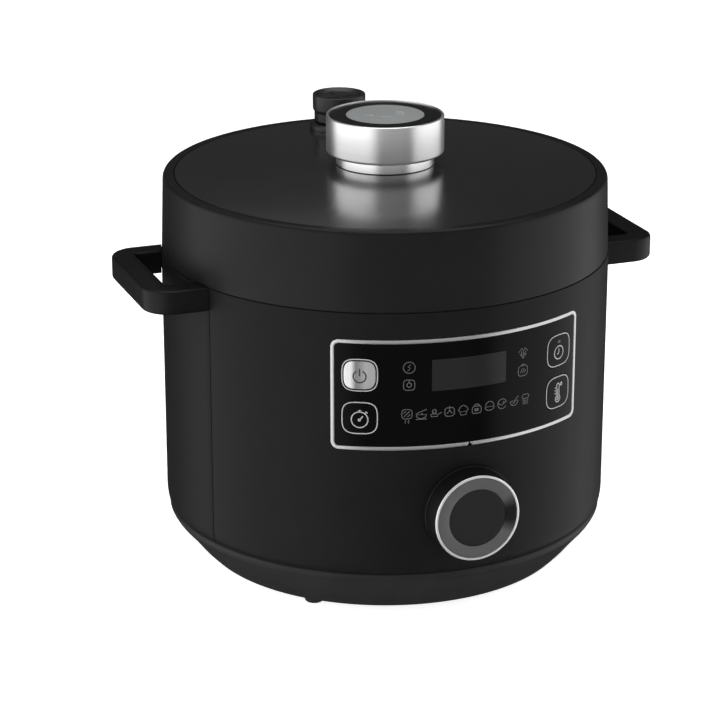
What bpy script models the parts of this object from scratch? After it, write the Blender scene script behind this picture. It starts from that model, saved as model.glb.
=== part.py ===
"""Electric pressure cooker: a housing with a heated well, a pot, and a lid that a knob locks.

Units are metres, +Z is up, the front is -Y and the cooker stands on z = 0.
Angles run around the cooker from the front towards +X.
"""
from math import acos, cos, degrees, pi, radians, sin, sqrt

import bmesh
import bpy
from mathutils import Vector

# ---- clearances and roundness ----
GAP = 0.0003                # between two fixed neighbours
RUN = 0.0006                # between pieces that slide or turn
SEGMENTS = 36               # sides of the large rounds
FINE = 24                   # sides of the small rounds
BORE = 8                    # sides of screws and small holes

# ---- pot ----
POT_RADIUS = 0.1115         # outside
POT_DEPTH = 0.1430          # underside of the rim to the bottom
POT_WALL = 0.0018
POT_CORNER = 0.0180         # outside radius round the bottom
POT_RIM = 0.0100            # how far the rim stands out from the wall

# ---- feet, base and heating ----
FOOT_HEIGHT = 0.0050
FOOT_RADIUS = 0.0070
FOOT_STUD_RADIUS = 0.0038
FOOT_EDGE = 0.0012
FOOT_SIDES = 16
FOOT_ANGLES = (-45, 45, 135, -135)
FOOT_INSET = 0.0109         # foot centre to the rim of the base
BASE_HEIGHT = 0.0353
BASE_TAPER = 0.0256         # how much narrower the base is at its bottom
BASE_BAND = 0.0045          # straight band above the taper
BASE_SHOULDER = (0.0040, 0.0052)        # in and down, from the band to the taper
BASE_EDGE = 0.0012
BASE_INSET = 0.0018         # how far the base stands in from the shells
BASE_WALL = 0.0025
BASE_LEDGE = 0.0060         # ledge that carries the bottom cover
COVER_RADIUS = 0.1040
COVER_THICKNESS = 0.0025
VENT_LENGTH, VENT_WIDTH, VENT_PITCH = 0.0700, 0.0060, 0.0180
BOARD_ROOM = 0.0405         # bottom cover to the well
HEATER_RADIUS = 0.0880
HEATER_THICKNESS = 0.0100
HEATER_GAP = 0.0025         # well to the plate
HEATER_EDGE = 0.0040
FUSE_RADIUS, FUSE_LENGTH, FUSE_OFFSET = 0.0035, 0.0240, 0.0550
SENSOR_RADIUS = 0.0170
SENSOR_TRAVEL = 0.0030
SENSOR_WALL = 0.0015
SENSOR_SKIRT = 0.0080
SENSOR_EDGE = 0.0010
SENSOR_SPACE = 0.0050       # sensor to the hole in the well
SPRING_COILS, SPRING_RADIUS, SPRING_WIRE = 4, 0.0110, 0.0008

# ---- well and locking flange ----
WELL_SPACE = 0.0045         # between the pot and the well
WELL_WALL = 0.0015
WELL_CORNER = 0.0040
LOCK_DEPTH = 0.0140         # shelf for the pot rim to the underside of the flange
LOCK_ROOM = 0.0108          # pot rim to the opening in the flange
FLANGE_THICKNESS = 0.0030
FLANGE_DROP = 0.0034        # flange to the top of the housing
LUG_COUNT = 6
LUG_LENGTH = 26             # degrees
LUG_REACH = 0.0041
LOCK_TURN = 30              # degrees

# ---- housing ----
HOUSING_SPACE = 0.0225      # opening in the flange to the inside of the shells
SHELL_WALL = 0.0025
SHELL_EDGE_RADIUS = 0.0075  # rounding towards the groove above the base
SHELL_EDGE_INSET = 0.0014

# ---- handles ----
HANDLE_REACH = 0.0313
HANDLE_RISE = 0.0006        # above the top of the housing
HANDLE_HALF_WIDTH = 0.0550
HANDLE_BAR = 0.0166
HANDLE_ARM = 0.0172
HANDLE_THICKNESS = 0.0167
HANDLE_CORNER = 0.0190
HANDLE_EDGE = 0.0020
HANDLE_SCREW_DROP = 0.0120
SCREW_RADIUS = 0.0020
SCREW_HEAD_RADIUS = 0.0036
SCREW_HEAD_HEIGHT = 0.0022

# ---- control panel ----
PANEL_HALF_ANGLE = 34.15
PANEL_HEIGHT = 0.0768
PANEL_DROP = 0.0181         # top of the housing to the frame
PANEL_CORNER = 0.0054
FRAME_WIDTH = 0.0024
FRAME_PROUD = 0.0003
FRAME_NOTCH = 0.0030
WINDOW_HALF_ANGLE = 9.7
WINDOW_HEIGHT = 0.0219
WINDOW_DROP = 0.0142        # top of the frame to the window
WINDOW_THICKNESS = 0.0018
WINDOW_CORNER = 0.0015
BUTTON_ANGLE = 27.05
BUTTON_WIDTH = 0.0245
BUTTON_HEIGHT = 0.0229
BUTTON_CORNER = 0.0075
BUTTON_DEPTH = 0.0060
BUTTON_TRAVEL = 0.0012
UPPER_BUTTON_DROP = 0.0242  # top of the frame to the centre
LOWER_BUTTON_DROP = 0.0541
BOARD_THICKNESS = 0.0016
POWER_BOARD = (0.1100, 0.0700)
POWER_BOARD_RISE = 0.0120   # above the bottom cover
POWER_PARTS = (             # size, place on the board
    ((0.0300, 0.0260, 0.0200), (-0.030, 0.010)),
    ((0.0180, 0.0150, 0.0160), (0.015, -0.005)),
    ((0.0140, 0.0140, 0.0180), (0.038, 0.022)),
)

# ---- dial ----
DIAL_RADIUS = 0.0290
DIAL_STAND_OFF = 0.0162     # front of the shell to the dial's face
DIAL_LOWERING = 0.0014      # below halfway between the panel and the base
DIAL_RING_WIDTH = 0.0086
BEZEL_WIDTH = 0.0018        # how far the bezel shows past the dial
BEZEL_PROUD = 0.0020
DIAL_RECESS = 0.0030
DIAL_LIP = 0.0017
DIAL_FLARE = 0.0012         # wider at its back than at its face
DIAL_EDGE = 0.0008
SPINDLE_RADIUS = 0.0030
SPINDLE_END = 0.0080
ENCODER = (0.0130, 0.0130, 0.0070)

# ---- lid ----
LID_HEIGHT = 0.0545
LID_TAPER = 0.0019          # how much narrower the lid is at its top
LID_STEP = 0.0004           # how far the lid's foot stands in from the shells
LID_WALL = 0.0025
TOP_RIM = 0.0080            # width of the rim round the top disc
TOP_DISC_THICKNESS = 0.0015
TOP_DISC_RISE = 0.0052      # middle of the top disc above its edge
HUB_RADIUS = 0.0180
HUB_BORE = 0.0090
POST_RADIUS = 0.0050
POST_CIRCLE = 0.0700
POST_ANGLES = (165, 285, 45)
POST_HOLE = 0.0120
LID_SCREW_LENGTH = 0.0115
INNER_LID_WALL = 0.0020
INNER_LID_DOME = 0.0114
INNER_LID_SLOPE = 0.0080
LID_EDGE = 0.0015
LID_CORNER = 0.0030
SEAL_HEIGHT = 0.0060
SEAL_WIDTH = 0.0085
RING_WALL = 0.0032
RING_WEB = 0.0040
RING_SKIRT = 0.0090         # below the top of the ring's lugs
RING_LUG = 0.0040
SPOKE_WIDTH = 0.0120
SPOKE_ANGLES = (120, 240, 0)

# ---- knob ----
KNOB_RADIUS = 0.0411
KNOB_HEIGHT = 0.0267
KNOB_LIFT = 0.0129          # top of the lid to the underside
KNOB_RIM = 0.0018           # metal left round the black ring
KNOB_DISC_RADIUS = 0.0273
KNOB_RECESS = 0.0030
KNOB_FOOT_EDGE = 0.0015
KNOB_TOP_EDGE = 0.0006
COLLAR_RADIUS = 0.0338
COLLAR_FOOT_RADIUS = 0.0343
COLLAR_SEAT_RADIUS = 0.0255

# ---- steam valve and float ----
VALVE_X, VALVE_Y = 0.0077, 0.1140
VALVE_SEAT_RADIUS = 0.0215
VALVE_SEAT_HEIGHT = 0.0070
VALVE_NECK_RADIUS = 0.0182
VALVE_CAP_RADIUS = 0.0194
VALVE_CAP_HEIGHT = 0.0110
VALVE_TOP = 0.0279          # above the lid
VALVE_RECESS_RADIUS = 0.0182
VALVE_FLOOR_RADIUS = 0.0155
VALVE_RECESS_DEPTH = 0.0024
VALVE_TUBE_RADIUS = 0.0080
VALVE_TUBE_END = 0.0100     # below the lid's plate
VALVE_EDGE = 0.0010
VALVE_SHOULDER = 0.0020
VALVE_BAR = 0.0040
VALVE_BAR_HEIGHT = 0.0007
STEAM_BORE = 0.0035
DUCT_RADIUS = 0.0055
DUCT_INLET_CIRCLE = 0.0800
SHIELD_RADIUS = 0.0100
SHIELD_HEIGHT = 0.0085
SHIELD_WALL = 0.0012
SHIELD_SLOT = 0.0030
FLOAT_X, FLOAT_Y = 0.0335, 0.0870
FLOAT_RADIUS = 0.0025
FLOAT_FOOT_RADIUS = 0.0050
FLOAT_TRAVEL = 0.0045
FLOAT_FOOT_HEIGHT = 0.0030

# ---- back: inlet and condensate cup ----
INLET_WIDTH, INLET_HEIGHT = 0.0320, 0.0260
INLET_DEPTH = 0.0260
INLET_FLANGE = 0.0030
INLET_PROUD = 0.0015
FLANGE_PLATE = 0.0020
SOCKET_WIDTH, SOCKET_HEIGHT = 0.0240, 0.0165
SOCKET_DEPTH = 0.0170
INLET_RISE = 0.0300         # bottom of the shells to the centre
PIN_SPACING = 0.0070
PIN_WIDTH, PIN_HEIGHT, PIN_LENGTH = 0.0020, 0.0040, 0.0140
PIN_RISE, EARTH_PIN_RISE = -0.0015, 0.0030
CUP_WIDTH, CUP_HEIGHT, CUP_DEPTH = 0.0600, 0.0360, 0.0153
CUP_WALL = 0.0018
CUP_DROP = 0.0134           # top of the housing to the cup's top

# ---- levels and radii that follow ----
BASE_Z = FOOT_HEIGHT
BASE_TOP = BASE_Z + BASE_HEIGHT
SHELL_Z = BASE_TOP + GAP
WELL_Z = BASE_Z + COVER_THICKNESS + BOARD_ROOM
HEATER_Z = WELL_Z + WELL_WALL + HEATER_GAP
POT_Z = HEATER_Z + HEATER_THICKNESS + GAP
SHELF_Z = POT_Z + POT_DEPTH - GAP
FLANGE_Z = SHELF_Z + LOCK_DEPTH
SHELL_TOP = FLANGE_Z + FLANGE_THICKNESS + FLANGE_DROP
LID_Z = SHELL_TOP + GAP
LID_TOP = LID_Z + LID_HEIGHT

POT_RIM_RADIUS = POT_RADIUS + POT_RIM
WELL_RADIUS = POT_RADIUS + WELL_SPACE
FLANGE_OPENING = POT_RIM_RADIUS + LOCK_ROOM
SHELL_INNER = FLANGE_OPENING + HOUSING_SPACE
BODY_RADIUS = SHELL_INNER + SHELL_WALL
SHELL_SEAM = degrees(acos(HANDLE_HALF_WIDTH / BODY_RADIUS))     # the front shell ends at the handles
LID_RADIUS = BODY_RADIUS - LID_STEP
LID_TOP_RADIUS = LID_RADIUS - LID_TAPER
BASE_RADIUS = BODY_RADIUS - BASE_INSET
BASE_BOTTOM_RADIUS = BASE_RADIUS - BASE_TAPER
SHAFT_RADIUS = HUB_BORE - RUN

FINISHES = {                # colour, roughness, metallic
    "satin_black": ((0.018, 0.018, 0.019), 0.45, 0.0),
    "gloss_black": ((0.008, 0.008, 0.009), 0.10, 0.0),
    "smoked_window": ((0.025, 0.026, 0.028), 0.18, 0.0),
    "silver_trim": ((0.62, 0.62, 0.63), 0.25, 1.0),
    "brushed_metal": ((0.66, 0.66, 0.67), 0.32, 1.0),
    "grey_disc": ((0.30, 0.31, 0.32), 0.35, 0.6),
    "steel": ((0.55, 0.55, 0.56), 0.30, 1.0),
    "dark_pot": ((0.06, 0.06, 0.065), 0.40, 0.3),
    "silicone": ((0.72, 0.72, 0.70), 0.60, 0.0),
    "rubber": ((0.015, 0.015, 0.015), 0.80, 0.0),
    "circuit_board": ((0.03, 0.16, 0.07), 0.50, 0.0),
    "cast_aluminium": ((0.50, 0.50, 0.51), 0.45, 1.0),
    "red_plastic": ((0.55, 0.03, 0.02), 0.40, 0.0),
    "clear_plastic": ((0.55, 0.57, 0.58), 0.20, 0.0),
}


def around(radius, angle, z=0.0):
    """A point at a distance from the cooker's axis, at an angle in degrees from the front."""
    turn = radians(angle)
    return Vector((radius * sin(turn), -radius * cos(turn), z))


def clear_scene():
    for item in list(bpy.data.objects):
        bpy.data.objects.remove(item, do_unlink=True)


def make_finish(name, key):
    colour, roughness, metallic = FINISHES[key]
    material = bpy.data.materials.new(name + "_finish")
    material.use_nodes = True
    shader = material.node_tree.nodes["Principled BSDF"]
    shader.inputs["Base Color"].default_value = (*colour, 1.0)
    shader.inputs["Roughness"].default_value = roughness
    shader.inputs["Metallic"].default_value = metallic
    material.diffuse_color = (*colour, 1.0)
    return material


def axis_frame(name, location=(0, 0, 0), rotation=(0, 0, 0), parent=None):
    """An empty that carries one body of the cooker."""
    frame = bpy.data.objects.new(name, None)
    frame.empty_display_size = 0.02
    bpy.context.collection.objects.link(frame)
    frame.location = location
    frame.rotation_euler = [radians(a) for a in rotation]
    frame.parent = parent
    return frame


def place(name, bm, parent, finish=None, location=(0, 0, 0), rotation=(0, 0, 0)):
    """Turn a bmesh into an object; without a finish it is a cutter or a guide."""
    bmesh.ops.recalc_face_normals(bm, faces=bm.faces)
    mesh = bpy.data.meshes.new(name)
    bm.to_mesh(mesh)
    bm.free()
    piece = bpy.data.objects.new(name, mesh)
    bpy.context.collection.objects.link(piece)
    piece.location = location
    piece.rotation_euler = [radians(a) for a in rotation]
    piece.parent = parent
    if finish:
        mesh.materials.append(make_finish(name, finish))
        mesh.shade_smooth()
        mesh.set_sharp_from_angle(angle=radians(35))
    else:
        piece.hide_render = True
        piece.display_type = "WIRE"
    return piece


def turned(profile, segments=SEGMENTS):
    """A closed outline of (radius, z) points, spun once about Z."""
    bm = bmesh.new()
    points = [bm.verts.new((radius, 0.0, z)) for radius, z in profile]
    edges = []
    for first, second in zip(points, points[1:] + points[:1]):
        if first.co.x > 0.0 or second.co.x > 0.0:
            edges.append(bm.edges.new((first, second)))
    bmesh.ops.spin(bm, geom=points + edges, cent=(0, 0, 0), axis=(0, 0, 1),
                   angle=2 * pi, steps=segments, use_merge=True)
    bmesh.ops.remove_doubles(bm, verts=bm.verts, dist=1e-6)
    return bm


def arc(centre_radius, centre_z, radius, start, end, steps):
    """Points of a round stretch of a profile, angles in degrees from +radius towards +z."""
    points = []
    for step in range(steps + 1):
        turn = radians(start + (end - start) * step / steps)
        points.append((centre_radius + radius * cos(turn), centre_z + radius * sin(turn)))
    return points


def tube(inner, outer, bottom, top, segments=SEGMENTS):
    return turned([(inner, bottom), (outer, bottom), (outer, top), (inner, top)], segments)


def disc(radius, bottom, top, segments=SEGMENTS):
    bm = bmesh.new()
    bmesh.ops.create_cone(bm, cap_ends=True, segments=segments, radius1=radius, radius2=radius,
                          depth=top - bottom)
    bmesh.ops.translate(bm, vec=(0, 0, 0.5 * (bottom + top)), verts=bm.verts)
    return bm


def block(size, centre=(0, 0, 0)):
    bm = bmesh.new()
    bmesh.ops.create_cube(bm, size=1.0)
    bmesh.ops.scale(bm, vec=size, verts=bm.verts)
    bmesh.ops.translate(bm, vec=centre, verts=bm.verts)
    return bm


def rounded_outline(half_width, half_height, corner, steps):
    """Points of a rounded rectangle about the origin."""
    points = []
    for quarter, (side, rise) in enumerate([(1, 1), (-1, 1), (-1, -1), (1, -1)]):
        centre = (side * (half_width - corner), rise * (half_height - corner))
        for step in range(steps + 1):
            turn = radians(90 * quarter + 90 * step / steps)
            points.append((centre[0] + corner * cos(turn), centre[1] + corner * sin(turn)))
    return points


def wrapped_plate(half_width, half_height, corner, inner, outer, steps=3, strip=0.0160):
    """A rounded plate bent round the housing, centred on the front at z = 0.

    half_width is measured along the housing's surface.
    """
    bm = bmesh.new()
    outline = rounded_outline(half_width, half_height, corner, steps)
    bm.faces.new([bm.verts.new((along, 0.0, up)) for along, up in outline])
    strips = max(2, round(2 * (half_width - corner) / strip))
    for step in range(strips + 1):
        along = (half_width - corner) * (2 * step / strips - 1)
        bmesh.ops.bisect_plane(bm, geom=bm.verts[:] + bm.edges[:] + bm.faces[:], dist=1e-6,
                               plane_co=(along, 0, 0), plane_no=(1, 0, 0))
    back = bmesh.ops.extrude_face_region(bm, geom=bm.faces[:])
    moved = [item for item in back["geom"] if isinstance(item, bmesh.types.BMVert)]
    bmesh.ops.translate(bm, vec=(0, 1, 0), verts=moved)
    for vert in bm.verts:
        radius = inner if vert.co.y > 0.5 else outer
        vert.co = around(radius, vert.co.x / BODY_RADIUS * 180 / pi, vert.co.z)
    return bm


def wedge(half_angle, bottom, top):
    """A pie slice about the front, to split the housing's ring into two shells."""
    bm = bmesh.new()
    reach = 1.5 * BODY_RADIUS
    corners = [Vector((0, 0, bottom))]
    steps = 4
    for step in range(steps + 1):
        corners.append(around(reach, half_angle * (2 * step / steps - 1), bottom))
    face = bm.faces.new([bm.verts.new(corner) for corner in corners])
    lifted = bmesh.ops.extrude_face_region(bm, geom=[face])
    moved = [item for item in lifted["geom"] if isinstance(item, bmesh.types.BMVert)]
    bmesh.ops.translate(bm, vec=(0, 0, top - bottom), verts=moved)
    return bm


def combine(piece, operation, *tools):
    for tool in tools:
        modifier = piece.modifiers.new(tool.name, "BOOLEAN")
        modifier.operation = operation
        modifier.solver = "EXACT"
        modifier.object = tool


def cut(piece, *tools):
    combine(piece, "DIFFERENCE", *tools)


def join(piece, *tools):
    combine(piece, "UNION", *tools)


def screw(name, parent, location, rotation, length):
    """A pan-head screw; its head is at local z = 0 and its shank points along +Z."""
    profile = [(0.0, -SCREW_HEAD_HEIGHT), (SCREW_HEAD_RADIUS, -SCREW_HEAD_HEIGHT),
               (SCREW_HEAD_RADIUS, 0.0), (SCREW_RADIUS, 0.0), (SCREW_RADIUS, length), (0.0, length)]
    return place(name, turned(profile, BORE), parent, "steel", location, rotation)


# ---------------------------------------------------------------- housing

def shell_ring(name, parent, finish):
    """The whole wall of the housing, before it is split into two shells."""
    outer, inner = BODY_RADIUS, SHELL_INNER
    profile = [(inner, SHELL_TOP), (inner, SHELL_Z)]
    profile += [(outer - SHELL_EDGE_INSET, SHELL_Z),
                (outer - SHELL_EDGE_INSET / 3, SHELL_Z + SHELL_EDGE_RADIUS / 2),
                (outer, SHELL_Z + SHELL_EDGE_RADIUS), (outer, SHELL_TOP)]
    return place(name, turned(profile), parent, finish)


def make_front_shell(base):
    shell = shell_ring("front_shell", base, "satin_black")
    half = SHELL_SEAM - 0.5 * GAP / BODY_RADIUS * 180 / pi
    slice_front = place("cut_front_slice", wedge(half, 0.0, LID_TOP), base)
    combine(shell, "INTERSECT", slice_front)
    opening = place("cut_panel_opening", panel_plate(GAP, 0.01, 0.01), base, None, (0, 0, PANEL_Z))
    dial_hole = place("cut_dial_hole", disc(DIAL_RADIUS + BEZEL_WIDTH + GAP, -0.03, 0.03, FINE),
                      base, None, (0, -BODY_RADIUS, DIAL_Z), (90, 0, 0))
    cut(shell, opening, dial_hole)


def make_rear_shell(base):
    shell = shell_ring("rear_shell", base, "satin_black")
    half = SHELL_SEAM + 0.5 * GAP / BODY_RADIUS * 180 / pi
    slice_rear = place("cut_rear_slice", wedge(half, 0.0, LID_TOP), base)
    size = (INLET_WIDTH + 2 * GAP, 0.03, INLET_HEIGHT + 2 * GAP)
    inlet = place("cut_inlet_opening", block(size), base, None, (0, BODY_RADIUS, INLET_Z))
    cut(shell, slice_rear, inlet)
    for side in (-1, 1):
        for end in (-1, 1):
            hole = disc(SCREW_RADIUS + GAP, -0.02, 0.02, BORE)
            where = (side * SHELL_INNER, end * SCREW_Y, HANDLE_SCREW_Z)
            cut(shell, place("cut_screw_way", hole, base, None, where, (0, 90, 0)))


def make_handle(name, base, side):
    """A flat loop whose two arms end on the rear shell."""
    bm = bmesh.new()
    far = BODY_RADIUS + HANDLE_REACH
    near = 0.75 * BODY_RADIUS
    half = HANDLE_HALF_WIDTH
    corner = HANDLE_CORNER
    points = [(near, -half)]
    points += arc(far - corner, corner - half, corner, -90, 0, 4)
    points += arc(far - corner, half - corner, corner, 0, 90, 4)
    points += [(near, half)]
    face = bm.faces.new([bm.verts.new((x, y, -HANDLE_THICKNESS)) for x, y in points])
    lifted = bmesh.ops.extrude_face_region(bm, geom=[face])
    moved = [item for item in lifted["geom"] if isinstance(item, bmesh.types.BMVert)]
    bmesh.ops.translate(bm, vec=(0, 0, HANDLE_THICKNESS), verts=moved)
    rims = [edge for edge in bm.edges
            if all(abs(v.co.x) > near for v in edge.verts)
            and abs(edge.verts[0].co.z - edge.verts[1].co.z) < 1e-6]
    bmesh.ops.bevel(bm, geom=rims, offset=HANDLE_EDGE, segments=1, affect="EDGES")
    turn = (0, 0, 0 if side > 0 else 180)
    handle = place(name, bm, base, "satin_black", (0, 0, SHELL_TOP + HANDLE_RISE), turn)
    bar_inner = far - HANDLE_BAR
    reach = (near - 0.01, bar_inner)
    size = (reach[1] - reach[0], 2 * (half - HANDLE_ARM), 3 * HANDLE_THICKNESS)
    hollow = place("cut_" + name + "_hollow", block(size), base, None,
                   (side * 0.5 * (reach[0] + reach[1]), 0, SHELL_TOP))
    wall = disc(BODY_RADIUS + GAP, -2 * HANDLE_THICKNESS, HANDLE_THICKNESS)
    body = place("cut_" + name + "_wall", wall, base, None, (0, 0, SHELL_TOP))
    cut(handle, hollow, body)
    for end, label in ((-1, "front"), (1, "rear")):
        hole = disc(SCREW_RADIUS + GAP, -0.02, HANDLE_SCREW_LENGTH, BORE)
        where = (side * SCREW_SEAT_X, end * SCREW_Y, HANDLE_SCREW_Z)
        rotation = (0, 90 * side, 0)
        cut(handle, place("cut_" + name + label, hole, base, None, where, rotation))
        side_name = "right" if side > 0 else "left"
        screw(f"handle_screw_{side_name}_{label}", base, where, rotation,
              HANDLE_SCREW_LENGTH - GAP)


def make_base_shell(base):
    """The tapered foot of the housing, with the ledge that carries the bottom cover."""
    band_z = BASE_TOP - BASE_BAND
    rim = BASE_BOTTOM_RADIUS
    wall = BASE_WALL
    inner_rim = rim - 2.2 * wall
    ledge = COVER_RADIUS + GAP
    profile = [(BASE_RADIUS, BASE_TOP), (BASE_RADIUS, band_z)]
    shoulder_in, shoulder_down = BASE_SHOULDER
    profile += [(BASE_RADIUS - shoulder_in, band_z - shoulder_down),
                (rim + BASE_EDGE, BASE_Z + 0.5 * BASE_EDGE), (rim, BASE_Z)]
    profile += [(ledge, BASE_Z), (ledge, BASE_Z + COVER_THICKNESS + GAP),
                (ledge - BASE_LEDGE, BASE_Z + COVER_THICKNESS + GAP),
                (ledge - BASE_LEDGE, BASE_Z + COVER_THICKNESS + GAP + wall),
                (inner_rim, BASE_Z + COVER_THICKNESS + GAP + wall),
                (BASE_RADIUS - wall, band_z - 0.4 * wall), (BASE_RADIUS - wall, BASE_TOP)]
    shell = place("base_shell", turned(profile), base, "satin_black")
    for number, angle in enumerate(FOOT_ANGLES, 1):
        where = around(BASE_BOTTOM_RADIUS - FOOT_INSET, angle)
        hole = place(f"cut_foot_hole_{number}", disc(FOOT_STUD_RADIUS + GAP, -0.01, 0.02, FOOT_SIDES),
                     base, None, where)
        cut(shell, hole)
        stud_top = BASE_Z + COVER_THICKNESS + wall
        profile = [(0.0, 0.0), (FOOT_RADIUS - FOOT_EDGE, 0.0), (FOOT_RADIUS, FOOT_EDGE),
                   (FOOT_RADIUS, BASE_Z - GAP), (FOOT_STUD_RADIUS, BASE_Z - GAP),
                   (FOOT_STUD_RADIUS, stud_top), (0.0, stud_top)]
        place(f"foot_{number}", turned(profile, FOOT_SIDES), base, "rubber", where)
    return shell


def make_bottom_cover(base, shell):
    """The service cover under the base: vents, and three screws into the ledge."""
    cover = place("bottom_cover", disc(COVER_RADIUS, BASE_Z, BASE_Z + COVER_THICKNESS),
                  base, "satin_black")
    for row in (-1, 0, 1):
        vent = block((VENT_LENGTH, VENT_WIDTH, 0.02))
        cut(cover, place("cut_vent", vent, base, None, (0, VENT_PITCH * row, BASE_Z)))
    circle = COVER_RADIUS - 0.45 * BASE_LEDGE - SCREW_RADIUS
    for number, angle in enumerate((0, 120, 240), 1):
        where = around(circle, angle, BASE_Z)
        hole = place("cut_cover_screw", disc(SCREW_RADIUS + GAP, -0.01, 0.02, BORE), base, None, where)
        cut(cover, hole)
        cut(shell, hole)
        screw(f"cover_screw_{number}", base, where - Vector((0, 0, GAP)), (0, 0, 0),
              COVER_THICKNESS + BASE_WALL + 0.0030)


# ---------------------------------------------------------------- well, flange and heating

def make_well(base):
    """The steel well: a bottom with a hole for the sensor, and a shelf for the pot's rim."""
    inner, wall = WELL_RADIUS, WELL_WALL
    lock = FLANGE_OPENING + GAP
    top = FLANGE_Z - GAP
    hole = SENSOR_RADIUS + SENSOR_SPACE
    corner = WELL_CORNER
    profile = [(hole, WELL_Z), (inner + wall - corner, WELL_Z), (inner + wall, WELL_Z + corner),
               (inner + wall, SHELF_Z - wall), (lock + wall, SHELF_Z - wall), (lock + wall, top),
               (lock, top), (lock, SHELF_Z), (inner, SHELF_Z), (inner, WELL_Z + corner),
               (inner - corner + wall, WELL_Z + wall), (hole, WELL_Z + wall)]
    place("inner_housing", turned(profile), base, "steel")


def make_flange(base):
    """The locking flange on top of the well, with lugs that the lid's ring turns under."""
    outer = SHELL_INNER - GAP
    bottom, top = FLANGE_Z, FLANGE_Z + FLANGE_THICKNESS
    flange = place("locking_flange", tube(FLANGE_OPENING, outer, bottom, top), base, "steel")
    for number in range(LUG_COUNT):
        lug = lug_block(FLANGE_OPENING - LUG_REACH, FLANGE_OPENING + 0.0030,
                        bottom, top, LUG_LENGTH)
        angle = (number + 0.5) * 360 / LUG_COUNT
        join(flange, place("join_flange_lug", lug, base, None, (0, 0, 0), (0, 0, angle)))


def lug_block(inner, outer, bottom, top, length):
    """One locking lug: a short stretch of ring about the front."""
    bm = bmesh.new()
    steps = 3
    angles = [length * (step / steps - 0.5) for step in range(steps + 1)]
    corners = [around(outer, angle, bottom) for angle in angles]
    corners += [around(inner, angle, bottom) for angle in reversed(angles)]
    face = bm.faces.new([bm.verts.new(corner) for corner in corners])
    lifted = bmesh.ops.extrude_face_region(bm, geom=[face])
    moved = [item for item in lifted["geom"] if isinstance(item, bmesh.types.BMVert)]
    bmesh.ops.translate(bm, vec=(0, 0, top - bottom), verts=moved)
    return bm


def make_heating(base):
    plate_top = HEATER_Z + HEATER_THICKNESS
    hole = SENSOR_RADIUS + RUN
    profile = [(hole, HEATER_Z), (HEATER_RADIUS, HEATER_Z), (HEATER_RADIUS, plate_top - HEATER_EDGE),
               (HEATER_RADIUS - HEATER_EDGE, plate_top), (hole, plate_top)]
    place("heating_plate", turned(profile, 32), base, "cast_aluminium")
    fuse = disc(FUSE_RADIUS, -0.5 * FUSE_LENGTH, 0.5 * FUSE_LENGTH, BORE)
    place("thermal_fuse", fuse, base, "steel", (0, FUSE_OFFSET, WELL_Z - FUSE_RADIUS - GAP), (0, 90, 0))
    sensor = axis_frame("sensor_axis", (0, 0, plate_top), parent=base)
    inside = SENSOR_RADIUS - SENSOR_WALL
    cap = [(0.0, -SENSOR_WALL), (inside, -SENSOR_WALL), (inside, -SENSOR_SKIRT),
           (SENSOR_RADIUS, -SENSOR_SKIRT), (SENSOR_RADIUS, -SENSOR_EDGE),
           (SENSOR_RADIUS - SENSOR_EDGE, 0.0), (0.0, 0.0)]
    place("sensor_button", turned(cap, FINE), sensor, "cast_aluminium")
    make_spring("sensor_spring", base, plate_top - SENSOR_WALL - GAP)


def make_spring(name, parent, top):
    """A coil spring from the well's bracket up to the sensor's cap."""
    per_coil, radius, wire = 8, SPRING_RADIUS, SPRING_WIRE
    low, high = WELL_Z + wire + GAP, top - wire
    count = SPRING_COILS * per_coil
    route = []
    for step in range(count + 1):
        turn = 2 * pi * step / per_coil
        rise = low + (high - low) * step / count
        route.append(Vector((radius * cos(turn), radius * sin(turn), rise)))
    tube_along(name, route, wire, parent, "steel", 0)


def make_pot(base):
    """The removable pot: a rounded bottom and a rim that hangs on the well's shelf."""
    frame = axis_frame("pot_frame", (0, 0, POT_Z), parent=base)
    outer, wall, corner = POT_RADIUS, POT_WALL, POT_CORNER
    inner = outer - wall
    rim_z = POT_DEPTH
    profile = [(0.0, 0.0)]
    profile += arc(outer - corner, corner, corner, -90, 0, 4)
    profile += [(outer, rim_z), (POT_RIM_RADIUS, rim_z), (POT_RIM_RADIUS, rim_z + wall),
                (inner, rim_z + wall)]
    profile += arc(inner - (corner - wall), corner, corner - wall, 0, -90, 4)
    profile += [(0.0, wall)]
    place("inner_pot", turned(profile), frame, "dark_pot")


# ---------------------------------------------------------------- electrics

def make_boards(base):
    """Power board in the base, control board and display behind the panel."""
    board_z = BASE_Z + COVER_THICKNESS + POWER_BOARD_RISE
    board = place("power_board", block((*POWER_BOARD, BOARD_THICKNESS)), base,
                  "circuit_board", (0, 0.010, board_z))
    for size, (x, y) in POWER_PARTS:
        centre = (x, y, board_z + 0.5 * size[2])
        join(board, place("join_board_part", block(size), base, None, centre))
    button_back = BODY_RADIUS - BUTTON_DEPTH - BUTTON_TRAVEL
    half = button_back * sin(radians(BUTTON_ANGLE)) - 0.5 * BUTTON_WIDTH - 0.0015
    depth = sqrt((SHELL_INNER - 0.0020) ** 2 - half ** 2)
    board_y = -depth + BOARD_THICKNESS
    height = PANEL_HEIGHT - 0.0160
    place("control_board", block((2 * half, BOARD_THICKNESS, height)), base,
          "circuit_board", (0, board_y, PANEL_Z))
    front = board_y - 0.5 * BOARD_THICKNESS - GAP
    module_front = -SHELL_INNER * cos(radians(WINDOW_HALF_ANGLE)) + 0.0010
    size = (2 * (SHELL_INNER * sin(radians(WINDOW_HALF_ANGLE)) - 0.0030),
            front - module_front, WINDOW_HEIGHT - 0.0020)
    place("display_module", block(size), base, "circuit_board",
          (0, 0.5 * (front + module_front), WINDOW_Z))


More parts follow.
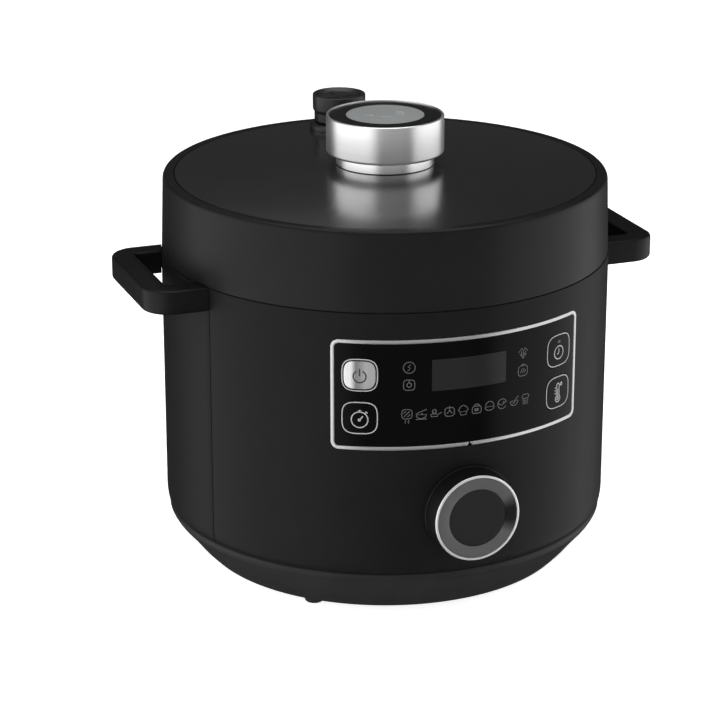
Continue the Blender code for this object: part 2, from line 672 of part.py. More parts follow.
def make_inlet(base):
    """The mains inlet at the back: a socket recess with three flat pins."""
    face_y = BODY_RADIUS + GAP
    inlet = place("mains_inlet", block((INLET_WIDTH, INLET_DEPTH, INLET_HEIGHT)), base,
                  "satin_black", (0, face_y - 0.5 * INLET_DEPTH + INLET_PROUD, INLET_Z))
    flange = block((INLET_WIDTH + 2 * INLET_FLANGE, FLANGE_PLATE, INLET_HEIGHT + 2 * INLET_FLANGE))
    join(inlet, place("join_inlet_flange", flange, base, None, (0, face_y + 0.5 * FLANGE_PLATE, INLET_Z)))
    floor_y = face_y + FLANGE_PLATE - SOCKET_DEPTH
    recess = block((SOCKET_WIDTH, SOCKET_DEPTH + 0.01, SOCKET_HEIGHT))
    cut(inlet, place("cut_socket", recess, base, None,
                     (0, floor_y + 0.5 * (SOCKET_DEPTH + 0.01), INLET_Z)))
    for number in (-1, 0, 1):
        root = 0.002
        pin = block((PIN_WIDTH, PIN_LENGTH + root, PIN_HEIGHT))
        where = (number * PIN_SPACING, floor_y + 0.5 * (PIN_LENGTH - root),
                 INLET_Z + (PIN_RISE if number else EARTH_PIN_RISE))
        join(inlet, place("join_inlet_pin", pin, base, None, where))


def make_cup(base):
    """The condensate cup that hooks on the back, open at its top."""
    back = BODY_RADIUS + RUN
    top = SHELL_TOP - CUP_DROP
    frame = axis_frame("cup_frame", (0, back, top), parent=base)
    centre = (0, 0.5 * CUP_DEPTH, -0.5 * CUP_HEIGHT)
    cup = place("condensate_cup", block((CUP_WIDTH, CUP_DEPTH, CUP_HEIGHT), centre), frame,
                "clear_plastic")
    inside = block((CUP_WIDTH - 2 * CUP_WALL, CUP_DEPTH - 2 * CUP_WALL, CUP_HEIGHT))
    cut(cup, place("cut_cup_inside", inside, frame, None,
                   (0, 0.5 * CUP_DEPTH, -0.5 * CUP_HEIGHT + CUP_WALL)))


# ---------------------------------------------------------------- control panel

PANEL_TOP = SHELL_TOP - PANEL_DROP
PANEL_Z = PANEL_TOP - 0.5 * PANEL_HEIGHT
WINDOW_Z = PANEL_TOP - WINDOW_DROP - 0.5 * WINDOW_HEIGHT
DIAL_Z = 0.5 * (PANEL_TOP - PANEL_HEIGHT + SHELL_Z) - DIAL_LOWERING
INLET_Z = SHELL_Z + INLET_RISE
SCREW_Y = HANDLE_HALF_WIDTH - 0.5 * HANDLE_ARM
SCREW_SEAT_X = sqrt((SHELL_INNER - 0.0006) ** 2 - (SCREW_Y + SCREW_HEAD_RADIUS) ** 2)
HANDLE_SCREW_Z = SHELL_TOP - HANDLE_SCREW_DROP
HANDLE_SCREW_LENGTH = 0.0220
BUTTONS = {                 # name: side, distance from the top of the frame
    "power_button": (-1, UPPER_BUTTON_DROP),
    "timer_button": (-1, LOWER_BUTTON_DROP),
    "delay_button": (1, UPPER_BUTTON_DROP),
    "temperature_button": (1, LOWER_BUTTON_DROP),
}


def panel_plate(grow, inwards, outwards):
    """The panel's outline, grown by a margin, as a plate through the housing's wall."""
    half = radians(PANEL_HALF_ANGLE) * BODY_RADIUS
    return wrapped_plate(half + grow, 0.5 * PANEL_HEIGHT + grow, PANEL_CORNER + grow,
                         SHELL_INNER - inwards, BODY_RADIUS + outwards)


def button_plate(grow, inner, outer):
    return wrapped_plate(0.5 * BUTTON_WIDTH + grow, 0.5 * BUTTON_HEIGHT + grow,
                         BUTTON_CORNER + grow, inner, outer)


def make_panel(base):
    """Silver frame, glossy panel, display window and four buttons."""
    inset = FRAME_WIDTH
    where = (0, 0, PANEL_Z)
    frame = place("panel_frame", panel_plate(0.0, 0.0, FRAME_PROUD), base, "silver_trim", where)
    cut(frame, place("cut_frame_inside", panel_plate(-inset, 0.01, 0.01), base, None, where))
    notch = block((FRAME_NOTCH, 0.03, 0.012))
    cut(frame, place("cut_frame_notch", notch, base, None,
                     (0, -BODY_RADIUS, PANEL_TOP - PANEL_HEIGHT)))
    panel = place("control_panel", panel_plate(-inset - GAP, 0.0, 0.0), base, "gloss_black", where)
    half = radians(WINDOW_HALF_ANGLE) * BODY_RADIUS
    half_height = 0.5 * WINDOW_HEIGHT
    seat = wrapped_plate(half + GAP, half_height + GAP, WINDOW_CORNER + GAP,
                         SHELL_INNER - 0.01, BODY_RADIUS + 0.01, steps=1)
    cut(panel, place("cut_window", seat, base, None, (0, 0, WINDOW_Z)))
    window = wrapped_plate(half, half_height, WINDOW_CORNER,
                           BODY_RADIUS - WINDOW_THICKNESS, BODY_RADIUS, steps=1)
    place("display_window", window, base, "smoked_window", (0, 0, WINDOW_Z))
    for name, (side, drop) in BUTTONS.items():
        height = PANEL_TOP - drop
        turn = (0, 0, side * BUTTON_ANGLE)
        hole = button_plate(RUN, SHELL_INNER - 0.01, BODY_RADIUS + 0.01)
        cut(panel, place("cut_" + name, hole, base, None, (0, 0, height), turn))
        finish = "brushed_metal" if name == "power_button" else "gloss_black"
        body = button_plate(0.0, BODY_RADIUS - BUTTON_DEPTH, BODY_RADIUS)
        place(name, body, base, finish, (0, 0, height), turn)


def make_dial(base):
    """The food dial: a body on a spindle, a grey ring, a black insert, a bezel and an encoder."""
    frame = axis_frame("dial_axis", (0, -BODY_RADIUS, DIAL_Z), (90, 0, 0), base)
    bezel_outer = DIAL_RADIUS + BEZEL_WIDTH
    sag = BODY_RADIUS - sqrt(SHELL_INNER ** 2 - bezel_outer ** 2)
    place("dial_bezel", tube(SPINDLE_RADIUS + RUN, bezel_outer, -sag, BEZEL_PROUD, FINE), frame,
          "satin_black")
    back = BEZEL_PROUD + RUN
    face = DIAL_STAND_OFF
    recess, lip, edge = DIAL_RECESS, DIAL_LIP, DIAL_EDGE
    bore = DIAL_RADIUS - DIAL_RING_WIDTH
    profile = [(0.0, -sag - SPINDLE_END), (SPINDLE_RADIUS, -sag - SPINDLE_END), (SPINDLE_RADIUS, back),
               (DIAL_RADIUS + DIAL_FLARE, back), (DIAL_RADIUS, face - edge), (DIAL_RADIUS - edge, face),
               (DIAL_RADIUS - lip, face), (DIAL_RADIUS - lip, face - recess), (0.0, face - recess)]
    place("dial_body", turned(profile, 32), frame, "satin_black")
    ring_outer = DIAL_RADIUS - lip - GAP
    floor = face - recess + GAP
    place("dial_ring", turned([(bore, floor), (ring_outer, floor), (ring_outer, face - GAP),
                               (bore, face - edge)], 32), frame, "grey_disc")
    place("dial_insert", disc(bore - GAP, floor, face - edge - GAP, 32), frame, "gloss_black")
    middle = (0, 0, -sag - GAP - 0.5 * ENCODER[2])
    encoder = place("dial_encoder", block(ENCODER, middle), frame, "steel")
    cut(encoder, place("cut_encoder_bore", disc(SPINDLE_RADIUS + RUN, -0.04, 0.01, BORE), frame))


# ---------------------------------------------------------------- lid (heights from the lid's foot)

DISC_TOP = LID_HEIGHT - 0.0002
DISC_BOTTOM = DISC_TOP - TOP_DISC_THICKNESS
PLATE_TOP = DISC_BOTTOM - GAP
PLATE_BOTTOM = PLATE_TOP - LID_WALL
TOP_DISC_RADIUS = LID_TOP_RADIUS - TOP_RIM - GAP
SEAL_Z = SHELF_Z + POT_WALL + 2 * GAP - LID_Z
SEAL_TOP = SEAL_Z + SEAL_HEIGHT
RIM_Z = SEAL_TOP + GAP
DOME_Z = RIM_Z + INNER_LID_DOME
DOME_TOP = DOME_Z + INNER_LID_WALL
WEB_Z = DOME_TOP + 0.0048
WEB_TOP = WEB_Z + RING_WEB
HUB_END = WEB_TOP + RUN
RING_INNER = POT_RIM_RADIUS + 0.0028
RING_OUTER = RING_INNER + RING_WALL
RING_LUG_TOP = FLANGE_Z - LID_Z - 0.0007


def dome(radius):
    """Height of the top disc's surface at a distance from the axis."""
    return DISC_TOP + TOP_DISC_RISE * (1 - (radius / TOP_DISC_RADIUS) ** 2)


def disc_radii(inner):
    """Where the domed profile has its points, from an inner radius to the disc's edge."""
    steps = 8
    return [inner + (TOP_DISC_RADIUS - inner) * step / steps for step in range(steps + 1)]


def make_lid(lid):
    """Cover, domed top disc, inner lid, and what is fixed to them."""
    wall = LID_WALL
    rim_inner = TOP_DISC_RADIUS + GAP
    profile = [(LID_RADIUS - wall, 0.0), (LID_RADIUS, 0.0), (LID_TOP_RADIUS, LID_HEIGHT - LID_EDGE),
               (LID_TOP_RADIUS - LID_EDGE, LID_HEIGHT), (rim_inner, LID_HEIGHT), (rim_inner, PLATE_TOP),
               (HUB_BORE, PLATE_TOP), (HUB_BORE, HUB_END), (HUB_RADIUS, HUB_END),
               (HUB_RADIUS, PLATE_BOTTOM), (LID_TOP_RADIUS - wall - LID_CORNER, PLATE_BOTTOM),
               (LID_TOP_RADIUS - wall, PLATE_BOTTOM - LID_CORNER)]
    cover = place("lid_cover", turned(profile), lid, "satin_black")
    radii = disc_radii(COLLAR_SEAT_RADIUS)
    profile = [(radius, dome(radius) - TOP_DISC_THICKNESS) for radius in radii]
    profile += [(radius, dome(radius)) for radius in reversed(radii)]
    top_disc = place("lid_top_disc", turned(profile), lid, "satin_black")
    inner_lid = make_inner_lid(lid)
    for number, angle in enumerate(POST_ANGLES, 1):
        where = around(POST_CIRCLE, angle)
        post = [(SCREW_RADIUS + GAP, DOME_TOP + GAP), (POST_RADIUS, DOME_TOP + GAP),
                (POST_RADIUS, PLATE_BOTTOM + 0.001), (0.0, PLATE_BOTTOM + 0.001),
                (0.0, DOME_TOP + POST_HOLE), (SCREW_RADIUS + GAP, DOME_TOP + POST_HOLE)]
        join(cover, place("join_post", turned(post, BORE), lid, None, where))
        hole = disc(SCREW_RADIUS + GAP, DOME_Z - 0.01, DOME_TOP + 0.01, BORE)
        cut(inner_lid, place("cut_lid_screw", hole, lid, None, where))
        screw(f"lid_screw_{number}", lid, where + Vector((0, 0, DOME_Z - GAP)), (0, 0, 0),
              LID_SCREW_LENGTH)
    valve_way = place("cut_valve_way", disc(VALVE_TUBE_RADIUS + GAP, DOME_TOP + 0.005, 0.1, FINE), lid,
                      None, (VALVE_X, VALVE_Y, 0))
    float_way = place("cut_float_way", disc(FLOAT_RADIUS + RUN, RIM_Z, 0.1, BORE), lid,
                      None, (FLOAT_X, FLOAT_Y, 0))
    cut(cover, valve_way, float_way)
    cut(top_disc, valve_way, float_way)
    cut(inner_lid, float_way)
    make_seal(lid)
    make_collar(lid)
    make_valve_seat(lid, inner_lid)


def make_inner_lid(lid):
    """The pressed steel lid that closes the pot: a raised dome and a flat rim over the seal."""
    rim = RING_INNER - 0.0010
    shoulder = POT_RADIUS - 0.0035
    wall = INNER_LID_WALL
    slope = INNER_LID_SLOPE
    profile = [(0.0, DOME_Z), (shoulder - slope, DOME_Z), (shoulder, RIM_Z), (rim, RIM_Z),
               (rim, RIM_Z + wall), (shoulder + 0.6 * wall, RIM_Z + wall),
               (shoulder - slope + 0.6 * wall, DOME_TOP), (0.0, DOME_TOP)]
    return place("inner_lid", turned(profile), lid, "steel")


def make_seal(lid):
    """The silicone ring between the inner lid and the pot's rim."""
    outer = POT_RIM_RADIUS - 0.0005
    inner = outer - SEAL_WIDTH
    profile = [(inner, SEAL_Z + 0.001), (inner + 0.001, SEAL_Z), (outer - 0.001, SEAL_Z),
               (outer, SEAL_Z + 0.001), (outer, SEAL_TOP), (inner, SEAL_TOP)]
    place("sealing_ring", turned(profile), lid, "silicone")


def make_collar(lid):
    """The metal collar that the knob turns on."""
    foot = dome(COLLAR_SEAT_RADIUS) + GAP
    top = LID_HEIGHT + KNOB_LIFT - RUN
    bore = HUB_BORE
    profile = [(bore, foot), (COLLAR_FOOT_RADIUS, foot), (COLLAR_RADIUS, top), (bore, top)]
    place("knob_collar", turned(profile, 32), lid, "brushed_metal")


def make_valve_seat(lid, inner_lid):
    """Seat on the lid, bent duct down to the inner lid, and the shield against blockage."""
    out = Vector((VALVE_X, VALVE_Y, 0))
    bottom = PLATE_BOTTOM - VALVE_TUBE_END
    top = LID_HEIGHT + VALVE_SEAT_HEIGHT
    bore = VALVE_TUBE_RADIUS - VALVE_EDGE
    profile = [(bore, DISC_TOP), (VALVE_SEAT_RADIUS, DISC_TOP), (VALVE_SEAT_RADIUS, top - VALVE_EDGE),
               (VALVE_SEAT_RADIUS - VALVE_EDGE, top), (bore, top)]
    seat = place("valve_seat", turned(profile, FINE), lid, "satin_black", out)
    under = DISC_BOTTOM - LID_WALL
    profile = [(0.0, under), (TOP_DISC_RADIUS, under)]
    profile += [(radius, dome(radius) + GAP) for radius in reversed(disc_radii(0.0))]
    cut(seat, place("cut_seat_foot", turned(profile), lid))
    stem = tube(STEAM_BORE, VALVE_TUBE_RADIUS, bottom, top - VALVE_EDGE, FINE)
    join(seat, place("join_valve_stem", stem, lid, None, out))
    inlet = out.normalized() * DUCT_INLET_CIRCLE
    start = out + Vector((0, 0, bottom - GAP))
    end = inlet + Vector((0, 0, DOME_Z + 0.0005))
    route = duct_route(start, end)
    duct = tube_along("steam_duct", route, DUCT_RADIUS, lid, "steel")
    cut(duct, tube_along("cut_duct_bore", longer(route), STEAM_BORE, lid, None))
    hole = place("cut_duct_way", disc(DUCT_RADIUS + GAP, RIM_Z, DOME_TOP + 0.003, FINE), lid,
                 None, inlet)
    cut(inner_lid, hole)
    low, high = DOME_Z - SHIELD_HEIGHT, DOME_Z - GAP
    profile = [(0.0, low), (SHIELD_RADIUS, low), (SHIELD_RADIUS, high), (SHIELD_RADIUS - SHIELD_WALL, high),
               (SHIELD_RADIUS - SHIELD_WALL, low + SHIELD_WALL), (0.0, low + SHIELD_WALL)]
    shield = place("anti_block_shield", turned(profile, FINE), lid, "steel", inlet)
    for turn in (0, 90):
        slot = block((SHIELD_SLOT, 4 * SHIELD_RADIUS, SHIELD_SLOT), (0, 0, 0.5 * (low + high)))
        cut(shield, place("cut_shield_slot", slot, lid, None, inlet, (0, 0, turn)))


def duct_route(start, end):
    """Points of the duct: down, across in an easy bend, and down again."""
    points = []
    steps = 10
    for step in range(steps + 1):
        share = step / steps
        ease = share * share * (3 - 2 * share)
        ease = min(1.0, max(0.0, 1.5 * ease - 0.25))
        across = start.lerp(end, ease)
        points.append(Vector((across.x, across.y, start.z + (end.z - start.z) * share)))
    return points


def longer(route):
    """The same route, reaching a little past both ends."""
    ahead = Vector((0, 0, 0.003))
    return [route[0] + ahead] + route + [route[-1] - ahead]


def tube_along(name, route, radius, parent, finish, roundness=1):
    """A round bar along a route, with closed ends."""
    curve = bpy.data.curves.new(name, "CURVE")
    curve.dimensions = "3D"
    curve.bevel_depth = radius
    curve.bevel_resolution = roundness
    curve.use_fill_caps = True
    spline = curve.splines.new("POLY")
    spline.points.add(len(route) - 1)
    for point, where in zip(spline.points, route):
        point.co = (*where, 1.0)
    sweep = bpy.data.objects.new(name + "_sweep", curve)
    bpy.context.collection.objects.link(sweep)
    mesh = bpy.data.meshes.new_from_object(sweep.evaluated_get(bpy.context.evaluated_depsgraph_get()))
    bpy.data.objects.remove(sweep, do_unlink=True)
    bm = bmesh.new()
    bm.from_mesh(mesh)
    bmesh.ops.remove_doubles(bm, verts=bm.verts, dist=1e-6)
    return place(name, bm, parent, finish)


# ---------------------------------------------------------------- pieces that turn on the lid

def make_knob(lid):
    """Knob, its black ring and grey disc, the shaft, and the ring that locks the lid."""
    frame = axis_frame("knob_axis", (0, 0, LID_HEIGHT), parent=lid)
    low, high = KNOB_LIFT, KNOB_LIFT + KNOB_HEIGHT
    floor = high - KNOB_RECESS
    bore = SHAFT_RADIUS + GAP
    rim = KNOB_RADIUS - KNOB_RIM
    profile = [(bore, low), (KNOB_RADIUS - KNOB_FOOT_EDGE, low), (KNOB_RADIUS, low + KNOB_FOOT_EDGE),
               (KNOB_RADIUS, high - KNOB_TOP_EDGE), (KNOB_RADIUS - KNOB_TOP_EDGE, high), (rim, high),
               (rim, floor), (bore, floor)]
    place("knob_body", turned(profile, SEGMENTS), frame, "brushed_metal")
    place("knob_top_ring", tube(KNOB_DISC_RADIUS + GAP, rim - GAP, floor + GAP, high - 0.0002), frame,
          "gloss_black")
    place("knob_disc", disc(KNOB_DISC_RADIUS, floor + GAP, high - 0.0004, 32), frame, "grey_disc")
    shaft_low = WEB_Z - LID_HEIGHT
    place("knob_shaft", disc(SHAFT_RADIUS, shaft_low, floor, FINE), frame, "steel")
    make_locking_ring(frame)


def make_locking_ring(frame):
    low = RING_LUG_TOP - RING_SKIRT - LID_HEIGHT
    web, web_top = WEB_Z - LID_HEIGHT, WEB_TOP - LID_HEIGHT
    ring = place("locking_ring", tube(RING_INNER, RING_OUTER, low, web_top), frame, "steel")
    lug_top = RING_LUG_TOP - LID_HEIGHT
    reach = FLANGE_OPENING - 0.0007
    for number in range(LUG_COUNT):
        lug = lug_block(RING_OUTER - 0.0010, reach, lug_top - RING_LUG, lug_top, LUG_LENGTH)
        angle = number * 360 / LUG_COUNT
        join(ring, place("join_ring_lug", lug, frame, None, (0, 0, 0), (0, 0, angle)))
    hub = place("join_ring_hub", disc(HUB_RADIUS, web, web_top, FINE), frame)
    for angle in SPOKE_ANGLES:
        length = RING_INNER + 0.0010
        spoke = block((SPOKE_WIDTH, length, web_top - web), (0, -0.5 * length, 0.5 * (web + web_top)))
        join(ring, place("join_spoke", spoke, frame, None, (0, 0, 0), (0, 0, angle)))
    join(ring, hub)
    cut(ring, place("cut_shaft_way", disc(SHAFT_RADIUS + GAP, web - 0.01, web_top + 0.01, FINE),
                    frame))


def make_valve(lid):
    """The steam valve's cap: a neck over the seat, a wider dished top, and a cross in the dish."""
    frame = axis_frame("valve_axis", (VALVE_X, VALVE_Y, LID_HEIGHT), parent=lid)
    low = VALVE_SEAT_HEIGHT + RUN
    shoulder = VALVE_TOP - VALVE_CAP_HEIGHT
    floor = VALVE_TOP - VALVE_RECESS_DEPTH
    profile = [(0.0, low), (VALVE_NECK_RADIUS, low), (VALVE_NECK_RADIUS, shoulder - VALVE_SHOULDER),
               (VALVE_CAP_RADIUS, shoulder), (VALVE_CAP_RADIUS, VALVE_TOP - VALVE_EDGE),
               (VALVE_CAP_RADIUS - 0.5 * VALVE_EDGE, VALVE_TOP), (VALVE_RECESS_RADIUS, VALVE_TOP),
               (VALVE_FLOOR_RADIUS, floor), (0.0, floor)]
    cap = place("valve_cap", turned(profile, FINE), frame, "satin_black")
    for turn in (0, 90):
        size = (VALVE_BAR, 2 * VALVE_FLOOR_RADIUS, 2 * VALVE_BAR_HEIGHT)
        bar = block(size, (0, 0, floor))
        join(cap, place("join_valve_bar", bar, frame, None, (0, 0, 0), (0, 0, turn)))


def make_float(lid):
    """The float pin that rises through the lid under pressure."""
    frame = axis_frame("float_axis", (FLOAT_X, FLOAT_Y, LID_HEIGHT), parent=lid)
    stop = DOME_Z - GAP - FLOAT_TRAVEL - LID_HEIGHT
    foot = stop - FLOAT_FOOT_HEIGHT
    top = dome(sqrt(FLOAT_X ** 2 + FLOAT_Y ** 2)) - LID_HEIGHT - GAP
    profile = [(0.0, foot), (FLOAT_FOOT_RADIUS, foot), (FLOAT_FOOT_RADIUS, stop), (FLOAT_RADIUS, stop),
               (FLOAT_RADIUS, top), (0.0, top)]
    place("float_pin", turned(profile, BORE), frame, "red_plastic")


def main():
    clear_scene()
    base = axis_frame("base_frame")
    make_front_shell(base)
    make_rear_shell(base)
    make_handle("handle_right", base, 1)
    make_handle("handle_left", base, -1)
    shell = make_base_shell(base)
    make_bottom_cover(base, shell)
    make_well(base)
    make_flange(base)
    make_heating(base)
    make_pot(base)
    make_boards(base)
    make_inlet(base)
    make_cup(base)
    make_panel(base)
    make_dial(base)
    lid = axis_frame("lid_frame", (0, 0, LID_Z), parent=base)
    make_lid(lid)
    make_knob(lid)
    make_valve(lid)
    make_float(lid)


main()
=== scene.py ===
from math import ceil, cos, pi, radians, sin

import bpy
from bpy.props import FloatProperty, FloatVectorProperty, IntProperty, PointerProperty
from mathutils import Matrix, Vector


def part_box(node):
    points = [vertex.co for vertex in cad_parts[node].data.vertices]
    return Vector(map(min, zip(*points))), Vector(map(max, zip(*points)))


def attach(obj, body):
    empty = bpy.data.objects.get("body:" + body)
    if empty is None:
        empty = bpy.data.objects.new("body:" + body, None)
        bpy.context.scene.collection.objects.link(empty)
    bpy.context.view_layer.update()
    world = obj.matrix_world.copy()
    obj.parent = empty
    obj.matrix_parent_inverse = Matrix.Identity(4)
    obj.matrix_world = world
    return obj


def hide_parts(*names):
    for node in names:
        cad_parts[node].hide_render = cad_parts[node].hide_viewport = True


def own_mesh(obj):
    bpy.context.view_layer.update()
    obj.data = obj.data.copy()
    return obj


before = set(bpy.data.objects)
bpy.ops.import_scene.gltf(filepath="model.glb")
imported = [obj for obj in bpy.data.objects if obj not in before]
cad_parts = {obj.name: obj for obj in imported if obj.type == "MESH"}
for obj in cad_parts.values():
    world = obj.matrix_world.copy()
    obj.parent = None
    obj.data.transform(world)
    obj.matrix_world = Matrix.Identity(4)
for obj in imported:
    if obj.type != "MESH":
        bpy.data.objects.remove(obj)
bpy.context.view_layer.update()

bl_info = {
    "name": "Electric Pressure Cooker",
    "version": (1, 0, 0),
    "blender": (4, 5, 0),
    "location": "3D View > Sidebar > Cooker",
    "description": "Builds the pieces and finishes of an electric pressure cooker",
    "category": "Add Mesh",
}

MM = 0.001


# ---------------------------------------------------------------- sizes read from the frame

def levels(node):
    """Lowest and highest point of a CAD node."""
    low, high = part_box(node)
    return low.z, high.z


def reach(node):
    """Outside radius of a CAD node that is turned about the cooker's axis."""
    low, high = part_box(node)
    return max(-low.y, high.y)


def middle(node):
    low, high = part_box(node)
    return 0.5 * (low + high)


BODY_RADIUS = reach("rear_shell")
SHELL_Z, SHELL_TOP = levels("rear_shell")
BASE_Z, BASE_TOP = levels("base_shell")
BASE_RADIUS = reach("base_shell")
LID_Z, LID_TOP = levels("lid_cover")
LID_RADIUS = reach("lid_cover")
KNOB_LOW, KNOB_TOP = levels("knob_body")
KNOB_RADIUS = reach("knob_body")
PANEL_BOTTOM, PANEL_TOP = levels("panel_frame")
PANEL_Z = 0.5 * (PANEL_BOTTOM + PANEL_TOP)
DIAL_Z = middle("dial_body").z
DIAL_FACE = -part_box("dial_body")[0].y
DIAL_RADIUS = 0.5 * (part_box("dial_body")[1].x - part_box("dial_body")[0].x)
POT_Z, POT_TOP = levels("inner_pot")
WELL_Z, WELL_TOP = levels("inner_housing")
VALVE = middle("valve_seat")
FLOAT = middle("float_pin")

SHELL_WALL = 2.5 * MM
DISC_WALL = 1.5 * MM        # top disc of the lid
DISC_SEAT = 25.5 * MM       # hole in it, under the collar
SEAM_ANGLE = 69.5
PANEL_ANGLE, WINDOW_ANGLE = 34.15, 9.7      # half of what each takes up round the housing
ROUND = 180                 # steps of a large turned piece
FINE = 96                   # steps of a small one


class CookerSizes(bpy.types.PropertyGroup):
    """Sizes of the detail that is added to the frame."""
    seam: FloatProperty(name="Seam", description="Gap between the front and the rear shell",
                        default=0.4 * MM, min=0.0, unit="LENGTH")
    handle_edge: FloatProperty(name="Handle edge", description="Rounding of the handles",
                               default=2.0 * MM, min=0.0, unit="LENGTH")
    frame_width: FloatProperty(name="Frame width", description="Width of the silver trim",
                               default=2.5 * MM, min=0.0, unit="LENGTH")
    key_corner: FloatProperty(name="Key corner", description="Rounding of the keys",
                              default=9.6 * MM, min=0.0, unit="LENGTH")
    line: FloatProperty(name="Line", description="Width of a printed line on a key",
                        default=0.75 * MM, min=0.0, unit="LENGTH")
    icon_line: FloatProperty(name="Icon line", description="Width of a line in a small icon",
                             default=0.6 * MM, min=0.0, unit="LENGTH")
    lugs: IntProperty(name="Lugs", description="Locking lugs round the lid", default=6, min=1)


class CookerColours(bpy.types.PropertyGroup):
    """Colours of the finishes."""
    body: FloatVectorProperty(name="Body", description="Satin plastic of the housing", size=3,
                              subtype="COLOR", default=(0.0070, 0.0070, 0.0073), min=0, max=1)
    lid: FloatVectorProperty(name="Lid top", description="Lacquered disc on the lid", size=3,
                             subtype="COLOR", default=(0.0045, 0.0045, 0.0047), min=0, max=1)
    panel: FloatVectorProperty(name="Panel", description="Glossy control panel", size=3,
                               subtype="COLOR", default=(0.0012, 0.0012, 0.0013), min=0, max=1)
    window: FloatVectorProperty(name="Window", description="Smoked display window", size=3,
                                subtype="COLOR", default=(0.0125, 0.0125, 0.0130), min=0, max=1)
    silver: FloatVectorProperty(name="Silver", description="Trim and knob", size=3,
                                subtype="COLOR", default=(0.80, 0.80, 0.80), min=0, max=1)
    disc: FloatVectorProperty(name="Knob disc", description="Grey disc in the knob", size=3,
                              subtype="COLOR", default=(0.235, 0.245, 0.245), min=0, max=1)
    dial: FloatVectorProperty(name="Dial ring", description="Grey ring on the dial", size=3,
                              subtype="COLOR", default=(0.115, 0.115, 0.118), min=0, max=1)
    print_light: FloatVectorProperty(name="Light print", description="Lines on the keys", size=3,
                                     subtype="COLOR", default=(0.34, 0.34, 0.34), min=0, max=1)
    print_dim: FloatVectorProperty(name="Dim print", description="Small icons, unlit", size=3,
                                   subtype="COLOR", default=(0.085, 0.085, 0.087), min=0, max=1)
    floor: FloatVectorProperty(name="Floor", description="Pale floor", size=3,
                               subtype="COLOR", default=(0.93, 0.93, 0.93), min=0, max=1)


# ---------------------------------------------------------------- modelling helpers

def only(*objects):
    """Nothing but these objects is selected; the first is active."""
    bpy.ops.object.select_all(action="DESELECT")
    for item in objects:
        item.select_set(True)
    if objects:
        bpy.context.view_layer.objects.active = objects[0]


def edit(obj):
    only(obj)
    bpy.ops.object.mode_set(mode="EDIT")
    bpy.ops.mesh.select_all(action="SELECT")


def done():
    bpy.ops.object.mode_set(mode="OBJECT")
    return bpy.context.object


def settle(obj, location=(0, 0, 0), rotation=(0, 0, 0), scale=(1, 1, 1)):
    """Put a place, a turn (degrees) and a scale into the mesh."""
    only(obj)
    obj.location = Vector(location)
    obj.rotation_euler = [radians(angle) for angle in rotation]
    obj.scale = scale
    bpy.ops.object.transform_apply(location=True, rotation=True, scale=True)
    return obj


def pick(obj, kind, chosen):
    """Edit mode with only the chosen vertices, edges or faces selected; kind names the list."""
    edit(obj)
    bpy.ops.mesh.select_all(action="DESELECT")
    done()
    for item in getattr(obj.data, kind):
        item.select = chosen(item)
    bpy.ops.object.mode_set(mode="EDIT")


def added(name, primitive, **settings):
    """A new primitive, which is the only thing selected."""
    bpy.ops.object.select_all(action="DESELECT")
    getattr(bpy.ops.mesh, f"primitive_{primitive}_add")(**settings)
    obj = bpy.context.object
    obj.name = name
    return obj


def copied(obj, name):
    copy = obj.copy()
    copy.data = obj.data.copy()
    copy.name = name
    bpy.context.collection.objects.link(copy)
    return copy


def outwards(obj):
    edit(obj)
    bpy.ops.mesh.remove_doubles(threshold=1e-6)
    bpy.ops.mesh.normals_make_consistent(inside=False)
    return done()


def applied(obj, kind, **settings):
    only(obj)
    modifier = obj.modifiers.new(kind, kind)
    for setting, value in settings.items():
        setattr(modifier, setting, value)
    bpy.ops.object.modifier_apply(modifier=modifier.name)
    return obj


def bevelled(obj, width, segments=2, angle=40):
    return applied(obj, "BEVEL", width=width, segments=segments, limit_method="ANGLE",
                   angle_limit=radians(angle), use_clamp_overlap=True)


def cut(obj, *tools, operation="DIFFERENCE"):
    for tool in tools:
        applied(obj, "BOOLEAN", operation=operation, solver="EXACT", object=tool)
        bpy.data.objects.remove(tool, do_unlink=True)
    return obj


def joined(first, *others):
    only(first, *others)
    bpy.ops.object.join()
    return first


def softened(corners, steps=4):
    """Outline of (radius, z) or (radius, z, fillet) corners, with its fillets rounded."""
    points = []
    count = len(corners)
    for index, corner in enumerate(corners):
        here = Vector(corner[:2])
        if len(corner) < 3 or corner[2] <= 0:
            points.append(here)
            continue
        before = Vector(corners[index - 1][:2]) - here
        after = Vector(corners[(index + 1) % count][:2]) - here
        start = here + before.normalized() * min(corner[2], 0.48 * before.length)
        end = here + after.normalized() * min(corner[2], 0.48 * after.length)
        for step in range(steps + 1):
            share = step / steps
            points.append((1 - share) ** 2 * start + 2 * share * (1 - share) * here + share ** 2 * end)
    return [(point.x, point.y) for point in points]


def trace(points, closed=False):
    """One chain of edges through these points; it leaves the mesh in edit mode."""
    bpy.ops.mesh.primitive_plane_add(size=MM, location=points[0])
    if bpy.context.mode == "OBJECT":
        bpy.ops.object.mode_set(mode="EDIT")
    bpy.ops.mesh.merge(type="CENTER")
    at = Vector(points[0])
    for point in list(points[1:]) + ([points[0]] if closed else []):
        step = Vector(point) - at
        bpy.ops.mesh.extrude_vertices_move(TRANSFORM_OT_translate={"value": step})
        at = Vector(point)


def wire(name, paths):
    """A mesh of bare edges along one or more (points, closed) paths."""
    bpy.ops.object.select_all(action="DESELECT")
    for points, closed in paths:
        trace([Vector(point) for point in points], closed)
    bpy.ops.mesh.select_all(action="SELECT")
    bpy.ops.mesh.remove_doubles(threshold=1e-6)
    obj = done()
    obj.name = name
    bpy.ops.object.transform_apply(location=True, rotation=True, scale=True)
    return obj


